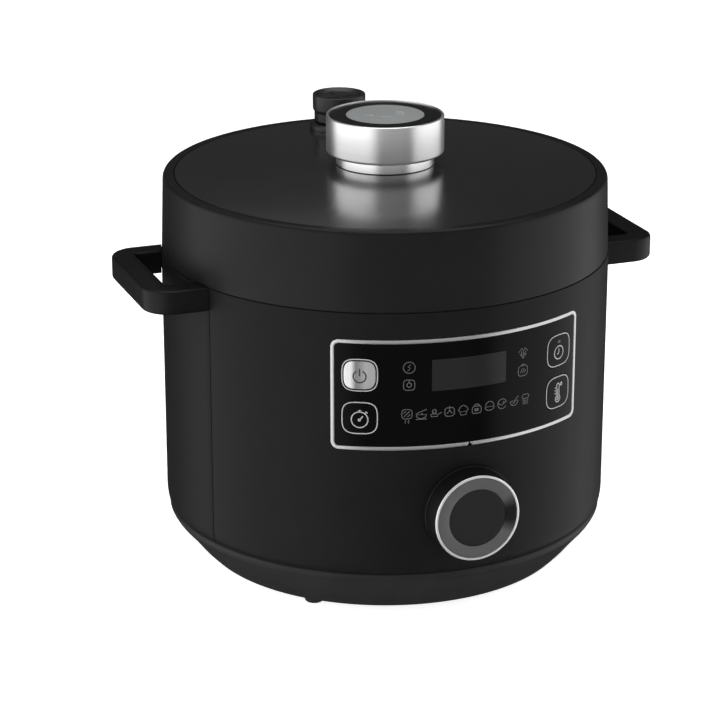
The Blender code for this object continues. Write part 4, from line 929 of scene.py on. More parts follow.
class COOKER_OT_keys(bpy.types.Operator):
    """Four keys, each with its outline and its symbol"""
    bl_idname = "cooker.keys"
    bl_label = "Keys"

    def execute(self, context):
        sizes = context.scene.cooker_sizes
        for node, body in KEYS.items():
            slot = "brushed_metal" if node == "power_button" else "gloss_black"
            piece(key_body(node, body + "_cap", sizes), body, FINISHES["key"], slot, node, smooth=12)
            half_width, half_height = 0.5 * KEY_WIDTH - 0.5 * MM, 0.5 * KEY_HEIGHT - 0.5 * MM
            outline = [squircle(0, 0, half_width / MM, half_height / MM)]
            key_print(body + "_outline", node, outline, "print_light", "silver_trim")
        for node, symbol in KEY_SYMBOLS.items():
            key_print(KEYS[node] + "_symbol", node, symbol(), "print_light", "silver_trim")
        bars = [line((-1.4, 6.6), (1.4, 6.6)), line((-1.4, 5.6), (1.4, 5.6))]
        key_print("delay_key_bar", "delay_button", bars, "print_dim", "silver_trim")

        x, z = key_place("power_button")
        inset = 1.7 * MM
        face = plate("power_key_face", x, z, 0.5 * KEY_WIDTH - inset, 0.5 * KEY_HEIGHT - inset,
                     sizes.key_corner - 0.8 * inset, METAL_FACE, 0.5 * MM, 10, KEY_PROFILE)
        bevelled(face, 0.3 * MM, 2, 60)
        piece(wrapped(face, 2.5 * MM), "power_key", FINISHES["key_metal"], "brushed_metal", smooth=12)
        key_print("power_key_symbol", "power_button", power_icon(), "print_dark", "gloss_black",
                  METAL_FACE, 1.0 * MM)
        return {"FINISHED"}


def bowl(width, depth, z=0.0, steps=10):
    """Half an oval, open at its top, with a line across it."""
    points = [(width * cos(radians(a)), z + depth * sin(radians(a)))
              for a in [180 + 180 * step / steps for step in range(steps + 1)]]
    return points, True


def programme_icons():
    """Ten small generic cooking symbols, left to right, in millimetres about their own centres."""
    steam = [line((s, -3.4), (s + 0.4, -4.1), (s - 0.1, -4.8), (s + 0.3, -5.5)) for s in (-1.0, 0.8)]
    return [
        [squircle(0, 0, 2.9, 2.8, steps=16), line((-1.8, -1.6), (1.6, 1.7)),
         line((-1.9, 0.4), (-0.4, 1.8)), line((0.3, -1.8), (1.9, -0.2))] + steam,
        [bowl(2.9, 2.4, -0.6), line((-3.0, -0.2), (-1.5, 0.7), (3.0, 2.4)), line((0.2, 0.4), (1.0, -0.8)),
         line((-3.1, -3.3), (3.0, -3.3))],
        [loop((-2.9, -0.8), (1.6, -0.8), (1.0, -2.2), (-2.3, -2.2)), line((1.7, -0.9), (3.6, 0.1)),
         ring(-0.7, 0.9, 1.1, 0, 360, 8), line((-1.9, -0.2), (0.6, -0.2))],
        [squircle(0, -0.2, 2.8, 2.6, steps=16), line((-1.6, -1.2), (0, 0.7), (1.6, -1.2)),
         line((0, 0.7), (0, 3.3)), line((-1.0, 2.4), (1.0, 2.4))],
        [loop((-2.9, 0.2), (-1.8, 2.0), (0, 2.9), (1.8, 2.0), (2.9, 0.2), (2.0, -0.9), (-2.0, -0.9)),
         line((-2.0, -0.9), (-1.5, -2.9), (1.5, -2.9), (2.0, -0.9))],
        [squircle(0, -0.8, 2.8, 2.2, steps=16), line((-2.0, 1.2), (-1.0, 2.5), (1.0, 2.5), (2.0, 1.2)),
         line((-0.7, -1.7), (-0.7, 0.2)), line((0.5, -1.7), (0.5, 0.2)), line((-1.4, -0.4), (1.3, -0.4)),
         line((-1.4, -1.2), (1.3, -1.2))],
        [ring(0, 0.3, 2.6, 0, 180, 10), bowl(2.9, 2.3, -0.2)],
        [ring(0, 0.1, 2.9, 15, 330, 18), line((-2.7, 0.5), (-0.4, -0.6), (2.6, 1.0)),
         line((0.6, 0.3), (1.3, 1.5))],
        [bowl(2.7, 2.8, 0.3), line((0.1, -0.8), (1.2, 1.2), (3.0, 2.9)), line((-0.9, -0.6), (0.0, -1.4))],
        [loop((-1.8, 0.2), (-2.6, 1.6), (-1.2, 2.8), (0, 2.5), (1.3, 2.9), (2.6, 1.6), (1.8, 0.2)),
         line((-1.8, 0.2), (-1.6, -3.0), (1.6, -3.0), (1.8, 0.2)), line((-0.6, -0.6), (-0.5, -2.4)),
         line((0.6, -0.6), (0.5, -2.4))],
    ]


def side_icons():
    """Four status symbols: place (degrees from the front, height in mm) and paths."""
    return [
        (-15.2, 188.4, [ring(0, 0, 3.0, steps=20), line((0.9, 1.6), (-0.7, 0.3), (0.7, -0.3), (-0.9, -1.7))]),
        (-15.2, 176.3, [squircle(0, 0, 2.9, 2.8, steps=18), ring(0, 0, 1.2, steps=8),
                        line((0, 2.8), (0, 1.3))]),
        (14.7, 188.9, [line((-2.7, 0.6), (-1.0, 2.4), (0.0, 1.2), (1.0, 2.4), (2.7, 0.6)),
                       line((-1.3, 0.9), (-0.8, -1.2)), line((1.3, 0.9), (0.8, -1.2)),
                       line((0, 0.8), (0, -2.8)), line((-1.9, -0.4), (0, -2.8), (1.9, -0.4))]),
        (14.7, 176.8, [squircle(0, -0.3, 2.8, 2.6, steps=18), line((-1.4, -1.4), (-0.4, 0.8)),
                       line((-0.2, -1.4), (0.8, 0.8)), line((1.0, -1.4), (1.6, 0.2)),
                       line((-1.0, 2.9), (1.0, 2.9))]),
    ]


class COOKER_OT_symbols(bpy.types.Operator):
    """Small unlit icons on the panel: four status signs and a row of ten programmes"""
    bl_idname = "cooker.symbols"
    bl_label = "Symbols"

    def execute(self, context):
        sizes = context.scene.cooker_sizes
        paths = []
        for angle, height, drawing in side_icons():
            paths += moved(drawing, along(angle), height * MM, (1.3 if angle < 0 else 1.4) * MM)
        for number, drawing in enumerate(programme_icons()):
            angle = -15.7 + 3.49 * number
            paths += moved(drawing, along(angle), 156.0 * MM, 1.18 * MM)
        marks = strokes("panel_symbols", paths, sizes.icon_line, 0.16 * MM, 1)
        wrapped(marks, 1.5 * MM)
        piece(marks, "housing", FINISHES["print_dim"], "grey_disc")
        return {"FINISHED"}


class COOKER_OT_dial(bpy.types.Operator):
    """Dial: bezel on the shell, body, bright rim, grey ring and dark centre"""
    bl_idname = "cooker.dial"
    bl_label = "Dial"

    def execute(self, context):
        radius = DIAL_RADIUS
        face = DIAL_FACE - BODY_RADIUS
        ring_in = 20.3 * MM
        low = BODY_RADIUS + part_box("dial_bezel")[0].y
        bezel = spun("dial_bezel_ring", [
            (3.7 * MM, -6.0 * MM), (radius + 1.8 * MM, -6.0 * MM),
            (radius + 1.8 * MM, -low - 0.6 * MM, 0.5 * MM), (radius + 1.2 * MM, -low, 0.5 * MM),
            (3.7 * MM, -low)], FINE)
        grip = spun("dial_grip", [
            (0, -13.5 * MM), (3.0 * MM, -13.5 * MM), (3.0 * MM, 2.6 * MM),
            (radius + 1.1 * MM, 2.6 * MM, 0.4 * MM), (radius - 0.15 * MM, face - 1.5 * MM, 0.5 * MM),
            (radius - 0.7 * MM, face - 0.9 * MM), (radius - 1.5 * MM, face - 0.9 * MM),
            (radius - 1.5 * MM, face - 3.0 * MM), (0, face - 3.0 * MM)], FINE)
        rim = spun("dial_chrome_rim", [
            (radius - 1.75 * MM, face - 0.5 * MM, 0.1 * MM), (radius - 1.55 * MM, face, 0.2 * MM),
            (radius - 0.50 * MM, face - 0.05 * MM, 0.4 * MM), (radius, face - 0.6 * MM, 0.3 * MM),
            (radius - 0.05 * MM, face - 1.3 * MM, 0.2 * MM),
            (radius - 1.75 * MM, face - 1.3 * MM)], FINE)
        grey = spun("dial_grey_ring", [
            (ring_in, face - 2.7 * MM), (radius - 1.95 * MM, face - 2.7 * MM),
            (radius - 1.95 * MM, face - 0.35 * MM, 0.25 * MM),
            (ring_in, face - 0.75 * MM, 0.25 * MM)], FINE)
        insert = spun("dial_face", [
            (0, face - 2.7 * MM), (ring_in - 0.2 * MM, face - 2.7 * MM),
            (ring_in - 0.2 * MM, face - 1.0 * MM, 0.3 * MM), (10 * MM, face - 1.2 * MM, 8 * MM),
            (0, face - 1.25 * MM)], FINE)
        for item in (bezel, grip, rim, grey, insert):
            settle(item, (0, -BODY_RADIUS, DIAL_Z), (90, 0, 0))
        # painted shade: the bezel takes the darker handle plastic for the shadow round the dial's base
        piece(bezel, "housing", FINISHES["grip"], "satin_black", "dial_bezel")
        piece(grip, "dial", FINISHES["grip"], "satin_black", "dial_body")
        piece(rim, "dial", FINISHES["chrome"], "silver_trim")
        piece(grey, "dial", FINISHES["dial_ring"], "grey_disc", "dial_ring")
        piece(insert, "dial", FINISHES["dial_face"], "gloss_black", "dial_insert")
        return {"FINISHED"}


def lid_surface(radius):
    """Height of the domed top disc at a distance from the axis."""
    low, high = levels("lid_top_disc")
    edge = low + DISC_WALL
    rim = reach("lid_top_disc")
    rise = (high - edge) / (1 - (DISC_SEAT / rim) ** 2)
    return edge + rise * (1 - (radius / rim) ** 2)


def domed(name, inner, outer, lift=0.0, foot=None, rings=16):
    """A disc whose top follows the lid; its underside is parallel, or flat at foot."""
    radii = [inner + (outer - inner) * step / rings for step in range(rings + 1)]
    corners = [(radius, lid_surface(radius) - DISC_WALL) for radius in radii]
    if foot is not None:
        corners = [(inner, foot), (outer, foot)]
    corners += [(radius, lid_surface(radius) + lift) for radius in reversed(radii)]
    return spun(name, corners)


def cut_ways(obj, low, high):
    """Holes through the lid for the steam valve and for the float pin."""
    past = 9 * MM
    return cut(obj, drum("valve_way", 8.4 * MM, low - past, high + past, (VALVE.x, VALVE.y)),
               drum("pin_way", 3.2 * MM, low - past, high + past, (FLOAT.x, FLOAT.y), 32))


class COOKER_OT_lid(bpy.types.Operator):
    """Lid: skirt with its rim, the lacquered disc, and the collar under the knob"""
    bl_idname = "cooker.lid"
    bl_label = "Lid"

    def execute(self, context):
        top, low = LID_TOP, LID_Z
        disc_low = levels("lid_top_disc")[0]
        disc_radius = reach("lid_top_disc")
        top_radius = LID_RADIUS - 1.9 * MM
        plate_top = disc_low - 0.3 * MM
        under = plate_top - 2.5 * MM
        skirt = spun("lid_skirt", [
            (LID_RADIUS - 2.5 * MM, low), (LID_RADIUS - 0.2 * MM, low, 0.3 * MM),
            (LID_RADIUS, low + 1.2 * MM, 0.6 * MM), (top_radius + 0.15 * MM, top - 1.9 * MM, 1.6 * MM),
            (top_radius - 1.5 * MM, top, 1.1 * MM), (disc_radius + 0.7 * MM, top, 0.4 * MM),
            (disc_radius + 0.35 * MM, plate_top), (9.0 * MM, plate_top), (9.0 * MM, under - 5.6 * MM),
            (18.0 * MM, under - 5.6 * MM, 0.5 * MM), (18.0 * MM, under, 1 * MM),
            (top_radius - 2.5 * MM, under, 4 * MM)])
        cut_ways(skirt, under, top)
        piece(skirt, "lid", FINISHES["rim"], "satin_black", "lid_cover")

        disc = domed("lid_plate", DISC_SEAT, disc_radius)
        cut_ways(disc, under, top)
        piece(disc, "lid", FINISHES["lid"], "satin_black", "lid_top_disc")

        foot, head = levels("knob_collar")
        collar = spun("knob_neck", [(9.1 * MM, foot), (34.3 * MM, foot, 0.15 * MM),
                                    (33.8 * MM, head, 0.5 * MM), (9.1 * MM, head)], 128)
        piece(collar, "lid", FINISHES["knob"], "brushed_metal", "knob_collar")
        return {"FINISHED"}


class COOKER_OT_inner_lid(bpy.types.Operator):
    """Pressed steel inner lid with its seal and the steam guard"""
    bl_idname = "cooker.inner_lid"
    bl_label = "Inner lid"

    def execute(self, context):
        low, high = levels("inner_lid")
        rim = reach("inner_lid")
        wall = 2.0 * MM
        pressed = spun("pressed_lid", [
            (0, high - wall), (101.0 * MM, high - wall, 2.5 * MM), (107.0 * MM, low, 2 * MM),
            (rim, low, 0.6 * MM), (rim, low + wall, 0.6 * MM), (108.5 * MM, low + wall, 3 * MM),
            (102.5 * MM, high, 4 * MM), (0, high)])
        guard = middle("anti_block_shield")
        for way, centre in ((3.4 * MM, FLOAT), (5.9 * MM, guard)):
            cut(pressed, drum("way", way, low - 9 * MM, high + 9 * MM, (centre.x, centre.y), 32))
        piece(pressed, "lid", FINISHES["steel"], "steel", "inner_lid")

        seal_low, seal_top = levels("sealing_ring")
        outer = reach("sealing_ring")
        inner = outer - 8.5 * MM
        seal = spun("seal_ring", [
            (inner, seal_top - 0.1 * MM, 0.5 * MM), (inner + 0.3 * MM, seal_low, 0.9 * MM),
            (inner + 2.6 * MM, seal_low + 0.1 * MM, 0.5 * MM),
            (inner + 3.4 * MM, seal_low + 1.6 * MM, 0.6 * MM),
            (outer - 3.4 * MM, seal_low + 1.6 * MM, 0.6 * MM),
            (outer - 2.6 * MM, seal_low + 0.1 * MM, 0.5 * MM), (outer - 0.3 * MM, seal_low, 0.9 * MM),
            (outer, seal_top - 0.1 * MM, 0.5 * MM)])
        piece(seal, "lid", FINISHES["silicone"], "silicone", "sealing_ring")

        bottom, top = levels("anti_block_shield")
        cap = spun("steam_guard", [
            (0, bottom), (9.0 * MM, bottom, 1.2 * MM), (10.0 * MM, bottom + 1.4 * MM, 0.8 * MM),
            (10.0 * MM, top, 0.3 * MM), (8.9 * MM, top), (8.9 * MM, bottom + 1.2 * MM),
            (0, bottom + 1.2 * MM)], 64)
        for turn in range(4):
            slot = box("slot", (2.4 * MM, 40 * MM, 3.0 * MM), (0, 0, 0.5 * (bottom + top)), 0.8 * MM)
            cut(cap, settle(slot, rotation=(0, 0, 45 * turn)))
        settle(cap, (guard.x, guard.y, 0))
        piece(cap, "lid", FINISHES["bright"], "steel", "anti_block_shield")
        return {"FINISHED"}


LUG_HALF = 13               # half of what a lug takes up, in degrees


def off_lug(face, lugs, shift=0.0):
    """Degrees from a face to the nearest lug; shift moves the lugs by a share of their spacing."""
    share = 360 / lugs
    angle = face.center.xy.angle_signed(Vector((0, -1)), 0.0) * 180 / pi
    return abs((angle + (0.5 - shift) * share) % share - 0.5 * share)


def lug_out(obj, height, chosen):
    """Raise lugs from the chosen faces of a ring."""
    pick(obj, "polygons", chosen)
    bpy.ops.mesh.extrude_region_shrink_fatten(TRANSFORM_OT_shrink_fatten={"value": height})
    return done()


class COOKER_OT_knob(bpy.types.Operator):
    """Knob that locks the lid: metal shell, black ring, grey disc and the locking ring below"""
    bl_idname = "cooker.knob"
    bl_label = "Knob"

    def execute(self, context):
        sizes = context.scene.cooker_sizes
        low, top, radius = KNOB_LOW, KNOB_TOP, KNOB_RADIUS
        floor = top - 3.0 * MM
        bore = 8.7 * MM
        shell = spun("knob_shell", [
            (bore, low), (radius - 1.2 * MM, low, 0.5 * MM), (radius, low + 1.2 * MM, 0.8 * MM),
            (radius, top - 0.5 * MM, 0.3 * MM), (radius - 0.5 * MM, top, 0.3 * MM),
            (radius - 1.7 * MM, top, 0.2 * MM), (radius - 1.8 * MM, floor), (bore, floor)], 144)
        piece(shell, "knob", FINISHES["knob"], "brushed_metal", "knob_body")
        black = spun("knob_black_ring", [
            (27.5 * MM, floor + 0.3 * MM), (radius - 2.0 * MM, floor + 0.3 * MM),
            (radius - 2.0 * MM, top - 0.5 * MM, 0.4 * MM), (27.5 * MM, top - 0.3 * MM, 0.4 * MM)], 144)
        piece(black, "knob", FINISHES["ring"], "gloss_black", "knob_top_ring")
        disc_top = levels("knob_disc")[1]
        disc = spun("knob_face", [(0, floor + 0.3 * MM), (27.2 * MM, floor + 0.3 * MM),
                                  (27.2 * MM, disc_top, 0.4 * MM), (0, disc_top)], 144)
        piece(disc, "knob", FINISHES["disc"], "grey_disc", "knob_disc")
        arrow = [
            ring(0, 0, 8.0, 40, 140, 14), line((4.4, 8.2), (6.2, 5.2), (8.0, 8.0)),
            line((-4.4, 8.2), (-6.2, 5.2), (-8.0, 8.0)),
            loop((-13.6, -2.4), (-8.6, -2.4), (-8.6, 1.4), (-13.6, 1.4)),
            ring(-11.1, 1.6, 1.7, 0, 180, 8), loop((8.6, -2.4), (13.6, -2.4), (13.6, 1.4), (8.6, 1.4)),
            ring(12.7, 1.6, 1.7, 0, 180, 8)]
        emboss = strokes("knob_emboss", moved(arrow, 0, 0, MM), 1.0 * MM, 0.8 * MM, 1)
        settle(emboss, rotation=(-90, 0, 0))
        settle(emboss, (0, 0, disc_top), scale=(1, -1, 1))
        outwards(emboss)
        piece(emboss, "knob", FINISHES["emboss"], "grey_disc")

        ring_low, ring_high = levels("locking_ring")
        inner, outer = 124.3 * MM, 127.5 * MM
        lug_top, lug_low = 218.3 * MM, 214.3 * MM
        band = spun("lock_ring", [
            (inner, ring_low, 0.4 * MM), (outer, ring_low, 0.4 * MM), (outer, lug_low), (outer, lug_top),
            (outer, ring_high, 0.5 * MM), (inner, ring_high, 0.5 * MM)])
        lug_out(band, 4.0 * MM, lambda face: (off_lug(face, sizes.lugs) < LUG_HALF
                                              and lug_low - 0.1 * MM < face.center.z < lug_top + 0.1 * MM
                                              and face.center.xy.length > outer - 0.3 * MM))
        web = 4.0 * MM
        hub = drum("hub", 18 * MM, ring_high - web, ring_high, sides=96)
        for turn in (0, 120, 240):
            spoke = box("spoke", (12 * MM, inner + MM, web - 0.2 * MM),
                        (0, -0.5 * (inner + MM), ring_high - 0.5 * web), 0.4 * MM)
            cut(band, settle(spoke, rotation=(0, 0, turn)), operation="UNION")
        cut(band, hub, operation="UNION")
        cut(band, drum("shaft_way", bore, ring_high - 3 * web, ring_high + web, sides=64))
        piece(band, "knob", FINISHES["wall_steel"], "steel", "locking_ring")
        return {"FINISHED"}


class COOKER_OT_valve(bpy.types.Operator):
    """Steam valve: seat on the lid, turning cap with a cross in its recess, and the float pin"""
    bl_idname = "cooker.valve"
    bl_label = "Steam valve"

    def execute(self, context):
        low, high = levels("valve_seat")
        foot = LID_TOP - 1 * MM
        seat = spun("valve_socket", [
            (7.0 * MM, foot), (21.5 * MM, foot), (21.5 * MM, high - 1.4 * MM, 0.9 * MM),
            (19.9 * MM, high, 0.8 * MM), (7.0 * MM, high)], FINE)
        settle(seat, (VALVE.x, VALVE.y, 0))
        cut(seat, domed("seat_foot", 60 * MM, 142 * MM, 0.15 * MM, foot - 5 * MM))
        stem = spun("stem", [(3.5 * MM, low), (8.0 * MM, low, 0.3 * MM), (8.0 * MM, high - 1 * MM),
                             (3.5 * MM, high - 1 * MM)], FINE)
        cut(seat, settle(stem, (VALVE.x, VALVE.y, 0)), operation="UNION")
        piece(seat, "lid", FINISHES["valve"], "satin_black", "valve_seat")

        bottom, top = levels("valve_cap")
        floor = top - 2.4 * MM
        wide, neck, dish = 19.4 * MM, 18.2 * MM, 15.5 * MM
        cap = spun("valve_top", [
            (0, bottom), (neck - 1 * MM, bottom, 0.4 * MM), (neck, bottom + 1 * MM, 0.6 * MM),
            (neck, top - 13.0 * MM, 0.6 * MM), (wide, top - 11.0 * MM, 0.8 * MM),
            (wide, top - 0.5 * MM, 0.4 * MM), (wide - 0.4 * MM, top, 0.2 * MM),
            (wide - 1.2 * MM, top, 0.3 * MM), (dish, floor, 0.6 * MM), (0, floor)], FINE)
        for turn in (0, 90):
            bar = box("bar", (3.6 * MM, 2 * dish, 1.4 * MM), (0, 0, floor), 0.3 * MM)
            cut(cap, settle(bar, rotation=(0, 0, turn)), operation="UNION")
        settle(cap, (VALVE.x, VALVE.y, 0))
        piece(cap, "steam_valve", FINISHES["valve"], "satin_black", "valve_cap")

        pin_low, pin_top = levels("float_pin")
        pin = spun("float_stem", [
            (0, pin_low), (4.2 * MM, pin_low, 0.8 * MM), (5.0 * MM, pin_low + 1.0 * MM, 0.5 * MM),
            (5.0 * MM, pin_low + 3.0 * MM, 0.4 * MM), (2.5 * MM, pin_low + 3.0 * MM, 0.3 * MM),
            (2.5 * MM, pin_top, 0.6 * MM), (0, pin_top)], 48)
        settle(pin, (FLOAT.x, FLOAT.y, 0))
        piece(pin, "float", FINISHES["red"], "red_plastic", "float_pin")
        return {"FINISHED"}


class COOKER_OT_well(bpy.types.Operator):
    """Steel well, locking flange, heating plate and the sensor's cap"""
    bl_idname = "cooker.well"
    bl_label = "Well"

    def execute(self, context):
        sizes = context.scene.cooker_sizes
        inner, wall = 116.0 * MM, 1.5 * MM
        shelf = POT_TOP - 2.1 * MM
        lock_low, lock_high = levels("locking_flange")
        lock = 132.5 * MM
        well = spun("well_skin", [
            (22 * MM, WELL_Z), (inner + wall, WELL_Z, 6 * MM), (inner + wall, shelf - wall, 0.4 * MM),
            (lock + wall, shelf - wall, 1.2 * MM), (lock + wall, WELL_TOP), (lock, WELL_TOP),
            (lock, shelf, 0.8 * MM), (inner, shelf, 0.9 * MM), (inner, WELL_Z + wall, 4.6 * MM),
            (22 * MM, WELL_Z + wall)])
        piece(well, "housing", FINISHES["wall_steel"], "steel", "inner_housing")

        opening = 132.3 * MM
        outer = reach("locking_flange")
        flange = spun("flange_ring", [(opening, lock_low), (outer, lock_low), (outer, lock_high, 0.3 * MM),
                                      (opening, lock_high)])
        lug_out(flange, 4.1 * MM, lambda face: (off_lug(face, sizes.lugs, 0.5) < LUG_HALF
                                                and abs(face.normal.z) < 0.3
                                                and face.center.xy.length < opening + 0.3 * MM))
        bevelled(flange, 0.35 * MM, 2, 50)
        piece(flange, "housing", FINISHES["steel"], "steel", "locking_flange")

        low, high = levels("heating_plate")
        rim = reach("heating_plate")
        rings = [(17.6 * MM, low), (rim, low, 0.5 * MM), (rim, high - 3 * MM, 2 * MM),
                 (rim - 4 * MM, high, 1.5 * MM)]
        for step in range(3):
            place = rim - (16 + 18 * step) * MM
            rings += [(place + 0.9 * MM, high, 0.3 * MM), (place, high - 0.5 * MM, 0.3 * MM),
                      (place - 0.9 * MM, high, 0.3 * MM)]
        rings += [(17.6 * MM, high, 0.6 * MM)]
        heater = spun("heater_disc", rings)
        piece(heater, "housing", FINISHES["cast"], "cast_aluminium", "heating_plate")

        bottom, top = levels("sensor_button")
        cap = spun("sensor_cap", [
            (0, top - 1.5 * MM), (15.5 * MM, top - 1.5 * MM), (15.5 * MM, bottom), (17.0 * MM, bottom),
            (17.0 * MM, top - 0.9 * MM, 0.7 * MM), (15.6 * MM, top, 0.8 * MM), (6.0 * MM, top, 0.4 * MM),
            (5.2 * MM, top - 0.4 * MM, 0.3 * MM), (0, top - 0.4 * MM)], FINE)
        piece(cap, "sensor", FINISHES["cast"], "cast_aluminium", "sensor_button")

        low, high = levels("sensor_spring")
        gauge, coils, steps = 0.7 * MM, 4, 20
        radius = reach("sensor_spring") - gauge
        route = []
        for step in range(coils * steps + 1):
            turn = 2 * pi * step / steps
            share = step / (coils * steps)
            rise = low + gauge + share * (high - low - 2 * gauge)
            route.append((radius * cos(turn), radius * sin(turn), rise))
        spring = piped("sensor_coil", [(route, False)], 2 * gauge, 3)
        piece(spring, "housing", FINISHES["bright"], "steel", "sensor_spring")
        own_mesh(spring)
        return {"FINISHED"}


class COOKER_OT_pot(bpy.types.Operator):
    """Removable pot with a rolled rim and level lines inside"""
    bl_idname = "cooker.pot"
    bl_label = "Pot"

    def execute(self, context):
        radius, wall, corner = 111.5 * MM, 1.8 * MM, 18 * MM
        rim = reach("inner_pot")
        under = POT_TOP - wall
        pot = spun("cooking_pot", [
            (0, POT_Z), (radius, POT_Z, corner * 1.3), (radius, under, 1.2 * MM), (rim, under, 0.7 * MM),
            (rim, POT_TOP, 0.8 * MM), (radius - wall, POT_TOP, 1.4 * MM),
            (radius - wall, POT_Z + wall, (corner - wall) * 1.3), (0, POT_Z + wall)], fillet_steps=10)
        piece(pot, "pot", FINISHES["pot"], "dark_pot", "inner_pot")
        paths = []
        for number in range(5):
            height = POT_Z + (35 + 20 * number) * MM
            wide = (14 if number % 2 == 0 else 8) * MM
            paths.append(line((-wide, height), (wide, height)))
        marks = strokes("level_lines", paths, 0.9 * MM, 0.3 * MM, 1)
        bent(marks, -(radius - wall), 20)
        piece(marks, "pot", FINISHES["print_light"], "dark_pot")
        return {"FINISHED"}


class COOKER_OT_back(bpy.types.Operator):
    """Mains inlet with its pins, and the condensate cup"""
    bl_idname = "cooker.back"
    bl_label = "Back"

    def execute(self, context):
        low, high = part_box("mains_inlet")
        centre = 0.5 * (low + high)
        face = high.y
        plate_back = face - 2.0 * MM
        size = (high.x - low.x, 2.0 * MM, high.z - low.z)
        socket = box("mains_socket", size, (0, face - 1.0 * MM, centre.z), 0.9 * MM, 3)
        trunk = box("trunk", (32 * MM, plate_back - low.y + 0.5 * MM, 26 * MM),
                    (0, 0.5 * (plate_back + low.y + 0.5 * MM), centre.z), 0.6 * MM, 2)
        cut(socket, trunk, operation="UNION")
        recess = box("recess", (24 * MM, 27 * MM, 16.5 * MM), (0, face - 3.5 * MM, centre.z), 2.6 * MM, 4)
        cut(socket, recess)
        piece(socket, "housing", FINISHES["inside"], "satin_black", "mains_inlet")
        pins = []
        for number in (-1, 0, 1):
            rise = 3.0 * MM if number == 0 else -1.5 * MM
            pins.append(box("mains_pins", (2.0 * MM, 14.5 * MM, 4.0 * MM),
                            (7.0 * number * MM, face - 10.6 * MM, centre.z + rise), 0.5 * MM, 2))
        pins = joined(*pins)
        pins.name = "mains_pins"
        piece(pins, "housing", FINISHES["bright"], "steel")

        low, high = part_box("condensate_cup")
        cup = box("cup_shell", tuple(high - low), tuple(0.5 * (low + high)))

        def rounded(edge):
            first, last = (cup.data.vertices[index].co for index in edge.vertices)
            on_floor = max(first.z, last.z) < low.z + MM
            outer_corner = abs(first.z - last.z) > MM and min(first.y, last.y) > high.y - MM
            return on_floor or outer_corner

        pick(cup, "edges", rounded)
        bpy.ops.mesh.bevel(offset=4.0 * MM, segments=6, affect="EDGES")
        done()
        pick(cup, "polygons", lambda face: face.normal.z > 0.9 and face.center.z > high.z - MM)
        bpy.ops.mesh.delete(type="FACE")
        bpy.ops.mesh.select_all(action="SELECT")
        bpy.ops.mesh.normals_make_consistent(inside=False)
        done()
        applied(cup, "SOLIDIFY", thickness=1.8 * MM, offset=-1.0, use_even_offset=True)
        bevelled(cup, 0.4 * MM, 2, 50)
        piece(cup, "cup", FINISHES["clear"], "clear_plastic", "condensate_cup")
        return {"FINISHED"}


PLAIN_NODES = {             # finish: CAD nodes that keep their shape
    "bright": ("cover_screw_", "handle_screw_", "lid_screw_", "thermal_fuse", "dial_encoder",
               "knob_shaft", "steam_duct"),
    "board": ("control_board", "power_board", "display_module"),
    "inside": ("bottom_cover",),
}


class COOKER_OT_hardware(bpy.types.Operator):
    """Finishes for the screws, boards and other inner parts that keep their CAD shape"""
    bl_idname = "cooker.hardware"
    bl_label = "Hardware"

    def execute(self, context):
        for finish, names in PLAIN_NODES.items():
            for name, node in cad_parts.items():
                if name.startswith(names):
                    node.data.materials.clear()
                    node.data.materials.append(FINISHES[finish])
        return {"FINISHED"}


# ---------------------------------------------------------------- stage

LIGHTS = (                  # name, angle, rise, distance, width, height, radiance
    ("left_softbox", -86, -4, 1.35, 3.0, 2.2, 1.75),
    ("right_softbox", 72, -4, 1.35, 2.1, 2.2, 1.5),
    ("front_fill", -4, 0, 2.6, 2.6, 2.6, 0.42),
    ("top_softbox", 0, 89, 1.35, 1.5, 1.5, 2.6),
    ("rear_fill", 175, 40, 2.2, 1.2, 0.8, 0.2),
)


def soft_light(name, angle, rise, distance, width, height, radiance, aim=(0, 0, 0.16)):
    """A rectangular softbox round the cooker, aimed at it; radiance sets its brightness."""
    turn, lift = radians(angle), radians(rise)
    where = Vector((distance * sin(turn) * cos(lift), -distance * cos(turn) * cos(lift),
                    distance * sin(lift))) + Vector(aim)
    data = bpy.data.lights.new(name, "AREA")
    data.shape = "RECTANGLE"
    data.size, data.size_y = width, height
    data.energy = radiance * pi * width * height
    lamp = bpy.data.objects.new(name, data)
    bpy.context.collection.objects.link(lamp)
    lamp.location = where
    lamp.rotation_euler = (Vector(aim) - where).to_track_quat("-Z", "Y").to_euler()
    lamp.visible_camera = False
    return lamp


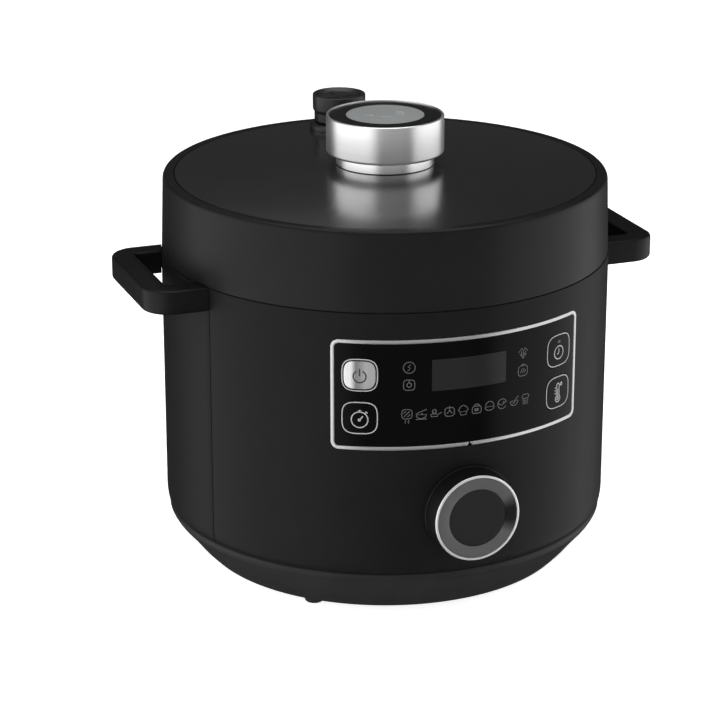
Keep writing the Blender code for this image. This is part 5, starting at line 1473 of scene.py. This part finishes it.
class COOKER_OT_stage(bpy.types.Operator):
    """Pale floor, soft studio light and the camera"""
    bl_idname = "cooker.stage"
    bl_label = "Stage"

    def execute(self, context):
        colours = context.scene.cooker_colours
        floor = settle(added("floor", "plane", size=60))
        material, tree, shader = nodes_of("pale_floor")
        tree.links.new(ramp(tree, noise(tree, coordinates(tree), 3.0), 0.3, 0.7,
                            spread(colours.floor, 0.006)), shader.inputs["Base Color"])
        shader.inputs["Roughness"].default_value = 0.9
        shader.inputs["Specular IOR Level"].default_value = 0.0
        shader.inputs["Emission Color"].default_value = (1, 1, 1, 1)
        shader.inputs["Emission Strength"].default_value = 0.85
        floor.data.materials.append(material)
        floor.visible_glossy = False
        floor.visible_diffuse = True
        floor.visible_shadow = False

        world = bpy.data.worlds.new("studio")
        world.use_nodes = True
        tree = world.node_tree
        background = tree.nodes["Background"]
        background.inputs["Color"].default_value = (1, 1, 1, 1)
        background.inputs["Strength"].default_value = 1.0
        dim = tree.nodes.new("ShaderNodeBackground")
        dim.inputs["Color"].default_value = (1, 1, 1, 1)
        dim.inputs["Strength"].default_value = 0.035
        seen = tree.nodes.new("ShaderNodeLightPath")
        mix = tree.nodes.new("ShaderNodeMixShader")
        tree.links.new(seen.outputs["Is Camera Ray"], mix.inputs["Fac"])
        tree.links.new(dim.outputs["Background"], mix.inputs[1])
        tree.links.new(background.outputs["Background"], mix.inputs[2])
        tree.links.new(mix.outputs["Shader"], tree.nodes["World Output"].inputs["Surface"])
        context.scene.world = world
        context.scene.view_settings.view_transform = "Standard"

        for light in LIGHTS:
            soft_light(*light)

        data = bpy.data.cameras.new("camera")
        data.lens = 129.42
        data.sensor_width = 36.0
        data.clip_start = 0.01
        camera = bpy.data.objects.new("camera", data)
        context.collection.objects.link(camera)
        camera.location = (-0.6315, -1.6322, 0.7549)
        camera.rotation_euler = (radians(70.60), 0, radians(-20.58))
        context.scene.camera = camera
        return {"FINISHED"}


# ---------------------------------------------------------------- panel and registration

STEPS = ("finishes", "shells", "base", "handles", "panel", "keys", "symbols", "dial", "lid",
         "inner_lid", "knob", "valve", "well", "pot", "back", "hardware", "stage")


class COOKER_PT_sidebar(bpy.types.Panel):
    """Buttons for the steps and fields for the sizes and colours"""
    bl_label = "Pressure cooker"
    bl_idname = "COOKER_PT_sidebar"
    bl_space_type = "VIEW_3D"
    bl_region_type = "UI"
    bl_category = "Cooker"

    def draw(self, context):
        for step in STEPS:
            self.layout.operator("cooker." + step)
        for group in (context.scene.cooker_sizes, context.scene.cooker_colours):
            box_row = self.layout.box()
            for name in group.__annotations__:
                box_row.prop(group, name)


CLASSES = (
    CookerSizes, CookerColours, COOKER_OT_finishes, COOKER_OT_shells, COOKER_OT_base,
    COOKER_OT_handles, COOKER_OT_panel, COOKER_OT_keys, COOKER_OT_symbols, COOKER_OT_dial,
    COOKER_OT_lid, COOKER_OT_inner_lid, COOKER_OT_knob, COOKER_OT_valve, COOKER_OT_well,
    COOKER_OT_pot, COOKER_OT_back, COOKER_OT_hardware, COOKER_OT_stage, COOKER_PT_sidebar,
)


def register():
    for item in CLASSES:
        bpy.utils.register_class(item)
    bpy.types.Scene.cooker_sizes = PointerProperty(type=CookerSizes)
    bpy.types.Scene.cooker_colours = PointerProperty(type=CookerColours)


def unregister():
    del bpy.types.Scene.cooker_colours
    del bpy.types.Scene.cooker_sizes
    for item in reversed(CLASSES):
        bpy.utils.unregister_class(item)


def main():
    register()
    for step in STEPS:
        getattr(bpy.ops.cooker, step)()


if __name__ == "__main__":
    main()
